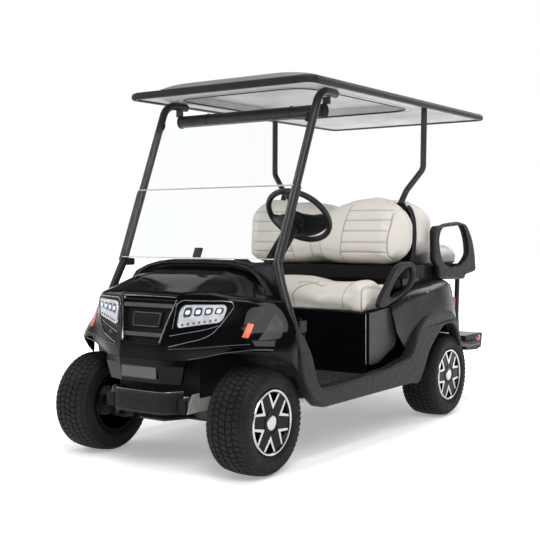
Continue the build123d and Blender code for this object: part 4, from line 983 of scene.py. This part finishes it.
def build_lamps():
    loop = ((168, 610), (350, 640), (371, 719), (170, 717))
    lamp = nose_patch("headlamp_left", loop, 4, 16, 30, 24, LAMP_CORNERS)
    both_sides(lamp, CHROME, ["headlamps"])
    loop = ((173, 614), (347, 643), (366, 714), (175, 712))
    both_sides(nose_patch("lamp_field", loop, 5, 2, 30, 24, LAMP_CORNERS), LAMP)
    cells, bulbs, dots, fins = [], [], [], []
    for k in range(4):
        x0, x1, low = 190 + 42 * k, 224 + 42 * k, 656 + 5.4 * k
        loop = ((x0, low + 2), (x1, low + 6), (x1 + 4, 703), (x0 + 6, 702))
        cells.append(nose_patch("lamp_cell", loop, 6.2, 3, 8, 8, (0.3, 0.3, 0.3, 0.3)))
        x, z = (x0 + x1) / 2 + 2, (low + 706) / 2
        loop = ((x - 10, z - 9), (x + 8, z - 8), (x + 11, z + 9), (x - 7, z + 9))
        bulbs.append(nose_patch("lamp_bulb", loop, 8.5, 4, 8, 8, (0.4, 0.4, 0.4, 0.4)))
        fins.append(nose_line("lamp_fin", ((x0 - 3, low + 2), (x0 + 3, 704)), 1.6, 6, 5))
    for k in range(7):
        x, z = 188 + 22 * k, 624 + 3.7 * k
        loop = ((x, z), (x + 9, z + 1.4), (x + 10, z + 10), (x + 1, z + 9))
        dots.append(nose_patch("lamp_dot", loop, 6.6, 3, 5, 5, (0.4, 0.4, 0.4, 0.4)))
    both_sides(merge("lamp_cells", *cells), CELL)
    both_sides(merge("lamp_bulbs", *bulbs), LED)
    both_sides(merge("lamp_dots", *dots), SATIN_AND_HIGHLIGHT)
    both_sides(merge("lamp_fins", *fins), CHROME)
    # Bright bars along the creases round the headlamps: painted highlights on the gloss body.
    crease_highlights = [
        nose_line("crease_highlight_low", ((148, 583), (200, 594), (275, 609), (346, 631)), 2.2, 3),
        nose_line("crease_highlight_top", LAMP_TOP_CREASE, 2.6, 3.5, 46),
        nose_line("crease_highlight_point", ((336, 622), (320, 600), (290, 579), (230, 560), (150, 538)), 2.2, 3, 30),
        nose_line("crease_highlight_side", ((155, 612), (158, 660), (160, 700)), 1.6, 3),
    ]
    both_sides(merge("lamp_crease_highlights", *crease_highlights), PAINTED_HIGHLIGHT)
    # Grey bars on the two ledges under the lamps: painted highlights along the gloss body's creases.
    lines = [
        nose_line("lip_a", ((148, 528), (250, 534), (380, 548), (470, 556)), 1.6, 1, 30),
        nose_line("lip_b", ((232, 487), (300, 500), (352, 514), (430, 526), (505, 534), (548, 533)), 2.0, 1.5, 34),
    ]
    both_sides(merge("nose_crease_highlights", *lines), SATIN_AND_HIGHLIGHT)
    # Thin grey patches on the nose and the wing: painted reflections on the gloss black.
    loop = ((424, 628), (470, 646), (486, 706), (428, 703))
    low = nose_patch("nose_painted_sheen", loop, 0.8, 1.5, 12, 12, (0, 0, 0.2, 0.4))
    loop = ((492, 570), (560, 574), (545, 640), (512, 688))
    high = nose_patch("wing_painted_sheen", loop, 0.8, 1.5, 12, 12, (0, 0.2, 0, 0.2))
    both_sides(merge("wing_painted_reflections", low, high), GREY_TRIM_AND_SHEEN)
    marker = nose_patch("marker", ((430, 582), (456, 578), (458, 636), (437, 641)), 5, 7, 8, 10)
    both_sides(marker, AMBER, ["marker_lamps"])


def build_lip():
    """Raised matte frame over the rear edge of the bonnet, down to the pillars' feet."""
    line = [
        (427, 130, 742), (400, 146, 768), (370, 156, 800), (309, 163, 846), (227, 168, 869), (110, 170, 876),
        (0, 170, 877),
    ]
    half = list(soft_line(line, 22))
    whole = half + [(-x, y, z) for x, y, z in reversed(half[:-1])]
    inner = [(x * 0.94, y + 34, z - 9) for x, y, z in whole]
    piece = merge("cowl_frame", bar("frame_a", whole, 15, 12, 0.5), bar("frame_b", inner, 12, 12, 0.5))
    dress(piece, TRIM)


def sweep(name, plan, profile):
    """Closed wall along plan points (x, station): profile gives distance inwards and height."""
    plan = np.array(plan, float)
    ahead = np.gradient(plan, axis=0)
    normal = np.stack((-ahead[:, 1], ahead[:, 0]), axis=1)
    normal /= np.linalg.norm(normal, axis=1, keepdims=True)
    points = []
    for inset, z in profile:
        points += [(x, y, z) for x, y in plan + normal * inset]
    count, rows = len(plan), len(profile)
    faces = grid_faces(rows, count)
    last = (rows - 1) * count
    faces += [(last + j, last + j + 1, j + 1, j) for j in range(count - 1)]
    faces += [tuple(i * count for i in range(rows)), tuple(i * count + count - 1 for i in reversed(range(rows)))]
    return link(name, mesh_from(name, points, faces))


def rounded(points, radius, steps=5):
    """Bent line with its corners rounded, for plans and side views."""
    out = [np.array(points[0], float)]
    for before, here, after in zip(points, points[1:], points[2:]):
        here = np.array(here, float)
        back, on = np.array(before, float) - here, np.array(after, float) - here
        cut = min(radius, np.linalg.norm(back) * 0.45, np.linalg.norm(on) * 0.45)
        start, end = here + back / np.linalg.norm(back) * cut, here + on / np.linalg.norm(on) * cut
        for k in range(steps + 1):
            t = k / steps
            out.append(start * (1 - t) ** 2 + here * 2 * t * (1 - t) + end * t**2)
    out.append(np.array(points[-1], float))
    return out


def rounded_loop(points, radius):
    """Closed line with rounded corners."""
    return rounded(list(points) + list(points[:2]), radius)[1:-1]


def inset(loop, amount):
    """Closed line moved towards its own inside."""
    loop = np.array(loop, float)
    before, after = np.roll(loop, 1, axis=0), np.roll(loop, -1, axis=0)
    area = np.sum(before[:, 0] * loop[:, 1] - loop[:, 0] * before[:, 1])
    out = []
    for a, b, c in zip(before, loop, after):
        u, v = (b - a) / max(np.linalg.norm(b - a), 1e-9), (c - b) / max(np.linalg.norm(c - b), 1e-9)
        n = np.array((-u[1] - v[1], u[0] + v[0])) * (1 if area > 0 else -1)
        n /= max(np.linalg.norm(n), 1e-9)
        out.append(b + n * amount)
    return [tuple(point) for point in out]


def moulding(name, outline, windows, x_low, x_high, bevel, corner):
    """Side moulding with rounded edges whose outline stays where it was drawn."""
    loops = [inset(rounded_loop(outline, corner), bevel)]
    loops += [inset(rounded_loop(window, corner), -bevel) for window in windows]
    return side_plate(name, loops, x_low, x_high, bevel)


def build_bumper():
    plan = rounded([(-190, -160), (-152, -220), (-126, -236), (0, -238), (126, -236), (152, -220), (190, -160)], 24)
    profile = [(20, 345), (7, 346.5), (2, 345), (0, 340), (0, 333)]
    for z in range(331, 267, -9):
        profile += [(2.6, z - 1.2), (2.6, z - 2.8), (0, z - 4), (0, z - 8)]
    profile += [(0, 258), (3, 251), (10, 250), (26, 250)]
    dress(sweep("bumper", plan, profile), TRIM, ["front_bumper"], 30)
    # Pale plate on each frame rail's side face: partly the aluminium's own tone, partly painted light over the shade
    # that falls on it.
    cheek = moulding("rail_face", [(-188, 256), (40, 256), (40, 336), (-150, 336)], [], 226, 229.5, 1, 6)
    both_sides(cheek, RAIL_TONE_AND_SHEEN)
    cap = sweep("rail_cap", rounded([(178, -180), (178, -194), (228, -194), (228, -180)], 6), [(0, 316.5), (0, 255.5)])
    both_sides(cap, SHADE)
    # Bright bar along the bumper's top edge: a painted highlight.
    edge = bar("bumper_edge_highlight", [(x * 0.992, y + 3, 346) for x, y in plan], 2.2, 8)
    dress(edge, PAINTED_HIGHLIGHT)
    plan = rounded([(x, -231.6) for x in (-98, -60, 60, 98)], 3)
    plate = sweep("apron_plate", plan, [(6, 449), (0, 447), (0, 400), (6, 398)])
    rim_line = [(-99, -230.5, 399), (-99, -231, 449), (99, -231, 449), (99, -230.5, 399), (-99, -230.5, 399)]
    dress(plate, SATIN_AND_HIGHLIGHT)
    dress(bar("apron_rim", rounded(rim_line, 6), 2.2, 8), GREY_TRIM_AND_SHEEN)


def grille_face(z):
    """Station of the sloping grille panel's face at a height."""
    return -216 + (z - 540) * 58 / 205


def build_grille():
    """Painted highlights as bright bars on the grille's side edges and top rim, and a blank frame on the grille panel.
    """
    sides = nose_line("grille_edge_highlights", ((108, 552), (128, 640), (157, 731)), 3.0, 2.5, 12)
    both_sides(sides, PAINTED_HIGHLIGHT)
    top = [(-150, -155.5, 742), (-100, -160, 743.5), (0, -161, 744), (100, -160, 743.5), (150, -155.5, 742)]
    dress(bar("grille_rim_highlight", top, 2.4, 8), PAINTED_HIGHLIGHT)
    line = rounded([(-74, 642), (-77, 672), (77, 672), (72, 616), (-72, 616), (-74, 642)], 8)
    frame_line = [(x, grille_face(z) + 8.5, z) for x, z in line]
    dress(bar("grille_frame", frame_line, 2.4, 8), SATIN_AND_HIGHLIGHT)
    bars = []
    for low, high in ((694, 714), (572, 592)):
        half = 102 + (low - 540) * 50 / 205
        plate_points = []
        for z, back in ((low, 6), (low + 2, 0), (high - 2, 0), (high, 6)):
            y = grille_face(z) + 1.2 + back
            plate_points += [(-half, y, z), (half, y, z)]
        bars.append(link("grille_bar", mesh_from("grille_bar", plate_points, grid_faces(4, 2))))
    dress(merge("grille_bars", *bars), SATIN_AND_HIGHLIGHT)


nodes["grille_panel"].material_slots[0].material = SHADE
build_cowl()
build_lamps()
build_lip()
build_bumper()
build_grille()


# ---------------------------------------------------------------- sides
SILL_OUTLINE = (
    (83, 592), (127, 592), (159, 557), (190, 516), (214, 470), (230, 426), (246, 381), (270, 347), (294, 334),
    (343, 334), (605, 342), (894, 354), (1114, 388), (1169, 442), (1202, 511), (1280, 571), (1397, 605), (1507, 608),
    (1595, 587), (1655, 560), (1709, 530), (1750, 464), (1800, 385), (1772, 383), (1752, 408), (1699, 476),
    (1628, 517), (1557, 524), (1495, 513), (1423, 471), (1329, 401), (1260, 294), (1204, 239), (1150, 252),
    (300, 252), (262, 262), (214, 299), (182, 333), (151, 376), (128, 429), (121, 472), (113, 515), (98, 546),
)
HIP_OUTLINE = (
    (891, 660), (921, 702), (1065, 834), (1100, 850), (1151, 861), (1239, 860), (1278, 850), (1296, 827), (1285, 765),
    (1229, 716), (1087, 673), (952, 642), (905, 644),
)
HIP_WINDOW = ((1020, 706), (1097, 768), (1184, 812), (1228, 819), (1245, 793), (1206, 750), (1119, 714), (1034, 700))
ARM_OUTLINE = (
    (1612, 756), (1606, 820), (1548, 850), (1543, 1020), (1562, 1044), (1736, 1054), (1909, 1064), (1964, 1056),
    (2007, 1018), (2050, 965), (2080, 895), (2103, 789), (2081, 781), (1955, 765), (1941, 743), (1640, 752),
)
ARM_WINDOW = (
    (1640, 1016), (1691, 1028), (1789, 1036), (1860, 1040), (1901, 1036), (1933, 1007), (1966, 950), (1976, 892),
    (1946, 871), (1904, 850), (1843, 834), (1739, 836), (1674, 853), (1635, 899), (1616, 970),
)
SIDE_PANEL = ((837, 622), (1064, 640), (1092, 600), (1120, 540), (1118, 480), (1095, 440), (925, 372), (837, 372))
QUARTER = (
    (1010, 640, 524, 530, 526, 392), (1130, 690, 548, 550, 542, 396), (1250, 716, 564, 576, 572, 420),
    (1430, 734, 566, 590, 594, 500), (1580, 748, 558, 586, 592, 500), (1680, 748, 538, 566, 578, 470),
    (1740, 742, 512, 544, 560, 440),
)
QUARTER_EDGE = (
    (1039, 640), (1050, 576), (1072, 509), (1126, 444), (1150, 405), (1170, 405), (1214, 500), (1295, 560),
    (1400, 590), (1560, 590), (1640, 560), (1738, 500),
)
FLARE_TAPER = ((1600, 0), (1810, 34))
TOP_POINTS, EDGE_POINTS, WALL_POINTS = 8, 10, 26  # across the rear quarter's top, rounded edge and wall
CAD_SIDE = 0.5995  # metres, just inside the CAD model's side


def quarter_section(station):
    """Inner top x, edge radius points and wall line of the rear quarter at a station."""
    return soft_value([row[0] for row in QUARTER], [row[1:] for row in QUARTER], station)


def quarter_x(station, z):
    top, x_top, x_mid, x_low, low = quarter_section(station)
    return float(soft_value((low - 200, (top + low) / 2, top - 22), (x_low, x_mid, x_top), min(z, top - 22)))


def build_quarters():
    stations = np.linspace(1040, 1737, 90)
    points = []
    for station in stations:
        top, x_top, x_mid, x_low, low = quarter_section(station)
        bottom = lift(QUARTER_EDGE, station)
        start, corner = np.array((x_top - 52, top)), np.array((x_top - 3, top - 3))
        end = np.array((quarter_x(station, top - 40), top - 40))
        points += [(x, station, top) for x in np.linspace(485, start[0], TOP_POINTS)]
        for t in np.arange(1, EDGE_POINTS + 1) / EDGE_POINTS:
            x, z = start * (1 - t) ** 2 + corner * 2 * t * (1 - t) + end * t**2
            points.append((x, station, z))
        for z in np.linspace(top - 40, min(bottom, top - 50), WALL_POINTS + 1)[1:]:
            points.append((quarter_x(station, z), station, z))
    faces = grid_faces(len(stations), TOP_POINTS + EDGE_POINTS + WALL_POINTS)
    piece = link("quarter_skin", mesh_from("quarter_skin", points, faces))
    for vertex in add_wall(piece).vertices:
        vertex.co.x = min(vertex.co.x, CAD_SIDE)
    # The quarters take the lighter grey, a painted reflection, instead of the body's gloss black.
    both_sides(piece, PAINTED_SHEEN_FLANK, ["rear_quarters"])
    spear = [(quarter_x(s, z) + 0.3, s, z) for s, z in soft_line(((1165, 690), (1192, 640), (1226, 585)), 16)]
    both_sides(bar("spear", spear, 2.0, 8), SATIN_AND_HIGHLIGHT)
    stripe = [(quarter_x(s, z) - 2.5, s, z) for s, z in soft_line(((1262, 668), (1400, 694), (1571, 722)), 20)]
    stripe = [bar("stripe", stripe, 5, 10), bar("stripe", [(x, s, z + 7) for x, s, z in stripe[2:]], 5, 10)]
    both_sides(merge("quarter_stripe", *stripe), GLOSS)
    chevron = [(quarter_x(s, z) + 2.5, s, z) for s, z in ((1345, 704), (1368, 696), (1350, 688))]
    both_sides(bar("chevron", chevron, 1.8, 8), CHROME)




def build_sides():
    sill = moulding("sill_moulding", SILL_OUTLINE, [], 540, 600, 9, 26)
    for vertex in sill.data.vertices:
        x, s, z = vertex.co.x * 1000, vertex.co.y * 1000 + AXLE, vertex.co.z * 1000
        if x < 552 and math.hypot(s, z - WHEEL_HEIGHT) < 290:
            x = 552
        vertex.co.x = (x - lift(FLARE_TAPER, s)) / 1000
    sill = both_sides(sill, TRIM)
    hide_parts("sill_left", "sill_right")
    ridge = [(598.5, s, z - 3) for s, z in soft_line(SILL_OUTLINE[9:20], 50)]
    ridge = [(x - lift(FLARE_TAPER, s), s, z - 8) for x, s, z in ridge]
    both_sides(bar("sill_ridge", ridge, 1.5, 6), SATIN_AND_HIGHLIGHT)
    arch = [(589 - lift(FLARE_TAPER, s), s, z + 3) for s, z in soft_line(SILL_OUTLINE[24:32], 40)]
    both_sides(bar("arch_lip", arch, 6, 8), TRIM)
    hip = moulding("hip_loop", HIP_OUTLINE, [inset(HIP_WINDOW, -19)], 514, 540, 8, 24)
    both_sides(hip, TRIM, ["hip_restraints"])
    arm = moulding("arm_loop", ARM_OUTLINE, [inset(ARM_WINDOW, -8)], 486, 520, 11, 30)
    both_sides(arm, TRIM, ["arm_rests"])
    # Dark grey plate on the seat base's side: a painted reflection on its gloss black.
    panel = moulding("base_side_reflection", SIDE_PANEL, [], 514.5, 517.5, 1.2, 10)
    both_sides(panel, GREY_TRIM_AND_SHEEN)
    # Bright bar on the seat base's rounded front corner: a painted highlight.
    both_sides(bar("base_corner_highlight", [(499.5, 835.5, 616), (499.5, 835.5, 372)], 2.6, 8), PAINTED_HIGHLIGHT)
    lens = moulding("tail_lens", [(1716, 652), (1746, 648), (1746, 592), (1730, 598)], [], 528, 550, 2, 6)
    both_sides(lens, RED)
    skirt = side_plate("deck_skirt", [[(1180, 728), (1700, 728), (1700, 776), (1180, 776)]], 462, 474, 2)
    both_sides(skirt, SHADE)
    clip = moulding("pillar_clip", [(176, 583), (234, 583), (238, 634), (184, 636)], [], 538, 549, 2, 6)
    both_sides(clip, TRIM)


# ---------------------------------------------------------------- canopy
ROOF_CORNER, ROOF_SIDE = 12, 16  # steps round each corner and along each side of the roof
ROOF_PROFILE = (
    (15, 15, 15, 40, 1684), (15, 15, 15, 40, 1669), (12, 12, 12, 43, 1667.4), (6, 6, 6, 49, 1667.3),
    (1.5, 1.5, 1.5, 53.5, 1671), (0, 0, 0, 55, 1678), (0, 0, 0, 55, 1684), (2, 2, 2, 53, 1692), (8, 8, 8, 47, 1699),
    (18, 18, 18, 42, 1702.8), (34, 34, 34, 50, 1702), (50, 50, 50, 66, 1698.5), (60, 60, 60, 84, 1700.5),
    (72, 68, 72, 92, 1708), (90, 82, 90, 101, 1720), (110, 96, 110, 110, 1730), (134, 112, 138, 115, 1738),
    (160, 130, 170, 120, 1743.5), (194, 158, 204, 125, 1746.6), (230, 190, 240, 130, 1747.6),
    (330, 330, 400, 160, 1748),
)


def corner_arcs(half_front, half_rear, front, rear, radius, z, steps):
    """Points on the four rounded corners of a plan, from the front corner on the driver's side."""
    ring = []
    for x, y, turn in (
        (half_front, front, -90), (half_rear, rear, 0), (-half_rear, rear, 90), (-half_front, front, 180),
    ):
        cx, cy = x - math.copysign(radius, x), y + (radius if y == front else -radius)
        for k in range(steps + 1):
            angle = math.radians(turn + 90 * k / steps)
            ring.append((cx + radius * math.cos(angle), cy + radius * math.sin(angle), z))
    return ring


def roof_ring(side, front, rear, radius, z):
    """Rounded outline of the roof, drawn in by the given distances."""
    ring = corner_arcs(545 - side, 528 - side, 286 + front, 2208 - rear, radius, z, ROOF_CORNER)
    out, count = [], ROOF_CORNER + 1
    for c in range(4):
        here, there = ring[c * count:(c + 1) * count], ring[((c + 1) % 4) * count]
        end = here[-1]
        out += here
        for i in range(1, ROOF_SIDE):
            out.append(tuple(end[k] + (there[k] - end[k]) * i / ROOF_SIDE for k in range(3)))
    return out


def build_roof():
    rings = [roof_ring(*row) for row in ROOF_PROFILE]
    count = len(rings[0])
    points = [point for ring in rings for point in ring]
    faces = grid_faces(len(rings), count, closed=True)
    faces.append(tuple(range((len(rings) - 1) * count, len(rings) * count)))
    roof = link("roof_skin", mesh_from("roof_skin", points, faces))
    roof.data.materials.append(ROOF)
    roof.data.materials.append(PAINTED_SHEEN_CROWN)
    # Faces above the edge band take the crown's painted sheen.
    for face in roof.data.polygons:
        if face.center.z > 1.7035:
            face.material_index = 1
    dress(roof, ROOF, ["roof_shell"], 50)
    lines = []
    for grow, z, radius in ((0, 1674.6, 4.5), (-34, 1676.5, 2.5)):
        half = 390 - grow
        ring = corner_arcs(half, half, 460 + grow, 1540 - grow, 120 - grow, z, 8)
        lines.append(bar("tray_line", ring + ring[:1], radius, 8))
    dress(merge("tray_lines", *lines), GREY_TRIM_AND_SHEEN)
    edge = [(x, y, 1673) for x, y, _ in roof_ring(24, 24, 24, 34, 0)]
    dress(bar("liner_edge", edge + edge[:1], 5, 8), GREY_TRIM_AND_SHEEN)




def strut_axis(z, out=0.0, ahead=0.0):
    """Point beside the front strut's axis at a height."""
    share = (z - 885) / 770.7
    return (450 + 9 * share + out, 158 + 324 * share + ahead, z)


def build_canopy_trim():
    channel = [strut_axis(z, 17, -3) for z in (880, 960, 1080, 1215)]
    both_sides(bar("strut_channel", channel, 12, 10, 0.8), TUBE)
    lower_edge = [(x, *strut_axis(899, 0, -24)[1:]) for x in (-444, 0, 444)]
    dress(bar("glass_edge", lower_edge, 2.2, 6), FOLD)
    upper_edge = [(x, *strut_axis(1221, 0, -20)[1:]) for x in (-452, 0, 452)]
    dress(bar("fold_edge", upper_edge, 5, 8, 0.7), FOLD)
    clamp = side_plate("glass_clamp", [[(150, 902), (168, 940), (160, 944), (142, 904)]], -10, 32, 1)
    dress(clamp, TRIM)
    bracket = moulding("glass_bracket", [(150, 858), (206, 858), (206, 890), (160, 894)], [], 424, 446, 3, 8)
    both_sides(bracket, TRIM)
    latch = moulding("glass_latch", [(396, 1512), (436, 1520), (452, 1556), (420, 1562)], [], 432, 452, 3, 10)
    both_sides(latch, TRIM)
    y, z = 567, 1576
    caps = [bar("bar_cap", [(x, y, z), (x + 8, y, z)], 33, 24) for x in (-434, 426)]
    angles = np.linspace(-2.4, 2.4, 16)
    hooks = [
        bar("bar_hook", [(x, y + 31 * math.sin(a), z + 31 * math.cos(a)) for a in angles], 3, 8) for x in (-250, 250)
    ]
    dress(merge("bar_caps", *caps, *hooks), TRIM)


def build_rear_trim():
    plate = flat([inset(rounded_loop([(-412, 2182), (412, 2182), (412, 2424), (-412, 2424)], 8), 0.7)], 1.6, 0.7)
    plate.transform(Matrix(((1, 0, 0, 0), (0, 1, 0, -AXLE / 1000), (0, 0, 1, 0.3878), (0, 0, 0, 1))))
    dress(link("footrest_plate", plate), PLATE)
    lens = []
    for radius, reach in ((17, 419.8), (17, 422.5), (12, 424.3), (0.5, 425)):
        for a in np.linspace(0, 2 * math.pi, 20, endpoint=False):
            lens.append((reach, 2364 + 1.3 * radius * math.cos(a), 360 + radius * math.sin(a)))
    lens = link("reflector", mesh_from("reflector", lens, grid_faces(4, 20, closed=True)))
    both_sides(lens, RED)
    ring = [(421, 2364 + 24 * math.cos(a), 360 + 18.5 * math.sin(a)) for a in np.linspace(0, 2 * math.pi, 25)]
    both_sides(bar("reflector_ring", ring, 2, 6), CHROME)


def build_mat():
    """Ribbed rubber mat over the floor and the toe board."""
    line = [(900, 322), (352, 322), (338, 330), (325.5, 470), (272, 638)]
    path = rounded(line, 20, 6)
    lengths = np.concatenate(([0], np.cumsum([np.linalg.norm(b - a) for a, b in zip(path, path[1:])])))
    points = []
    places = np.arange(0, lengths[-1], 5.0)
    for count, place in enumerate(places):
        s = np.interp(place, lengths, [p[0] for p in path])
        z = np.interp(place, lengths, [p[1] for p in path])
        rise = 3.4 if count % 4 < 2 else 1.6
        ribs = (s, z + rise) if place < 540 else (s + rise, z)
        points += [(x, *ribs) for x in (-496, 496)]
    mat = link("floor_mat", mesh_from("floor_mat", points, grid_faces(len(places), 2)))
    dress(mat, MAT, (), 20)




def build_steering():
    """Dished pad that fills the lower half of the steering wheel, with a raised hub."""
    turn = math.radians(46)
    up = np.array((0, math.cos(turn), -math.sin(turn)))
    ahead = np.array((0, math.sin(turn), math.cos(turn)))
    centre = np.array((250, 625, 1093))

    def place(u, v, w):
        return tuple(centre + np.array((u, 0, 0)) - up * v + ahead * w)

    top = [(-146, -4), (-112, 16), (-62, 34), (-20, 46), (20, 46), (62, 34), (112, 16), (146, -4)]
    low = [(-150, -20), (-134, -66), (-84, -96), (-30, -112), (30, -112), (84, -96), (134, -66), (150, -20)]
    top, low = soft_line(top, 25), soft_line(low, 25)
    faces = []
    for side in (0, -9):
        grid = np.zeros((14, 25, 3))
        for i in range(14):
            for j in range(25):
                u, v = top[j] * (1 - i / 13) + low[j] * i / 13
                reach = math.hypot(u, v)
                grid[i, j] = place(u, v, -30 + 26 * (reach / 150) ** 2 + 12 * math.exp(-((reach / 40) ** 2)) + side)
        faces.append(grid)
    dress(shell_solid("wheel_pad", *faces), GRIP, (), 50, "steering")


build_quarters()
build_sides()
build_roof()
build_canopy_trim()
build_rear_trim()
build_mat()
build_steering()
build_shells()


# ---------------------------------------------------------------- studio
AMBIENT = 0.45
CEILING = 0.08
FLOOR_GLOW = 0.32
FLOOR_SIDES, FLOOR_RINGS = 64, 24
LAMPS = (
    ("key", (3.4, -3.6, 4.6), (3.0, 3.0), 190), ("fill", (-4.6, -2.4, 3.2), (3.5, 3.5), 90),
    ("back", (1.5, 5.2, 4.2), (3.5, 3.5), 110), ("top", (0, -0.2, 5.4), (3.0, 5.0), 150),
)


def seen_rays(tree):
    """1 for the rays that show the backdrop: camera, glossy and transmission."""
    path = put(tree, "LightPath").outputs
    return strongest(tree, path["Is Camera Ray"], path["Is Glossy Ray"], path["Is Transmission Ray"])


def white_world():
    """White backdrop, with a darker studio ceiling for the reflections."""
    world = bpy.data.worlds.new("studio")
    scene.world = world
    world.use_nodes = True
    tree = world.node_tree
    ambient = tree.nodes["Background"]
    ambient.inputs["Color"].default_value = (0.95, 0.96, 1, 1)
    ambient.inputs["Strength"].default_value = AMBIENT
    height = put(tree, "SeparateXYZ", {0: put(tree, "TexCoord").outputs["Generated"]}).outputs["Z"]
    fade = {"From Min": 0.02, "From Max": 0.3, "To Min": 1.0, "To Max": CEILING}
    ceiling = put(tree, "MapRange", {"Value": height}, fade, interpolation_type="SMOOTHSTEP").outputs["Result"]
    path = put(tree, "LightPath").outputs
    level = strongest(tree, ceiling, path["Is Camera Ray"], path["Is Transmission Ray"])
    backdrop = put(tree, "Background", {"Strength": level}, {"Color": (1, 1, 1, 1)})
    mix = put(tree, "MixShader", {0: seen_rays(tree), 1: ambient.outputs[0], 2: backdrop.outputs[0]})
    tree.links.new(mix.outputs[0], tree.nodes["World Output"].inputs["Surface"])


def white_floor():
    """Round floor that is the backdrop's white away from the cart and takes its shadow near it."""
    sides = range(FLOOR_SIDES)
    points = [(0, 0, -0.001)]
    for ring in range(1, FLOOR_RINGS + 1):
        radius = 30 * (ring / FLOOR_RINGS) ** 2
        for i in sides:
            turn = 2 * math.pi * i / FLOOR_SIDES
            points.append((radius * math.cos(turn), radius * math.sin(turn), -0.001))
    faces = [(0, 1 + i, 1 + (i + 1) % FLOOR_SIDES) for i in sides]
    for base in range(1, 1 + (FLOOR_RINGS - 1) * FLOOR_SIDES, FLOOR_SIDES):
        for i in sides:
            j = (i + 1) % FLOOR_SIDES
            faces.append((base + i, base + FLOOR_SIDES + i, base + FLOOR_SIDES + j, base + j))
    mesh = bpy.data.meshes.new("studio_floor")
    mesh.from_pydata(points, [], faces)
    ground = link("studio_floor", mesh)
    n = Nodes("studio_floor")
    for socket, value in (("Base Color", (0.9, 0.9, 0.9, 1)), ("Roughness", 0.9), ("Specular IOR Level", 0.0)):
        n.bsdf.inputs[socket].default_value = value
    reach = n.put("VectorMath", {0: n.coords}, operation="LENGTH").outputs["Value"]
    fade = {"From Min": 1.5, "From Max": 3.6, "To Min": FLOOR_GLOW, "To Max": 1.0}
    far = n.put("MapRange", {"Value": reach}, fade, interpolation_type="SMOOTHSTEP").outputs["Result"]
    shown = n.put("Math", {0: seen_rays(n.tree), 1: far}, operation="MULTIPLY").outputs[0]
    glow = n.put("Emission", {"Strength": shown}).outputs[0]
    both = n.put("AddShader", {0: n.bsdf.outputs[0], 1: glow}).outputs[0]
    n.tree.links.new(both, n.tree.nodes["Material Output"].inputs["Surface"])
    ground.data.materials.append(n.mat)


def lamps():
    for name, place, size, power in LAMPS:
        light = bpy.data.lights.new(name, "AREA")
        light.shape = "RECTANGLE"
        light.size, light.size_y = size
        light.energy = power
        holder = bpy.data.objects.new(name, light)
        holder.location = place
        holder.rotation_euler = (Vector((0, 0, 0.7)) - Vector(place)).to_track_quat("-Z", "Y").to_euler()
        scene.collection.objects.link(holder)


def camera():
    data = bpy.data.cameras.new("camera")
    data.lens = 65.51
    data.sensor_width = 36
    data.clip_end = 60
    eye = bpy.data.objects.new("camera", data)
    turn = Euler((math.radians(87.7), 0, math.radians(35.25))).to_matrix()
    roll = Euler((0, 0, math.radians(-0.12))).to_matrix()
    eye.matrix_world = Matrix.Translation((2.8558, -4.397, 1.0224)) @ (turn @ roll).to_4x4()
    scene.collection.objects.link(eye)
    scene.camera = eye


white_world()
white_floor()
lamps()
camera()
scene.view_settings.view_transform = "Standard"
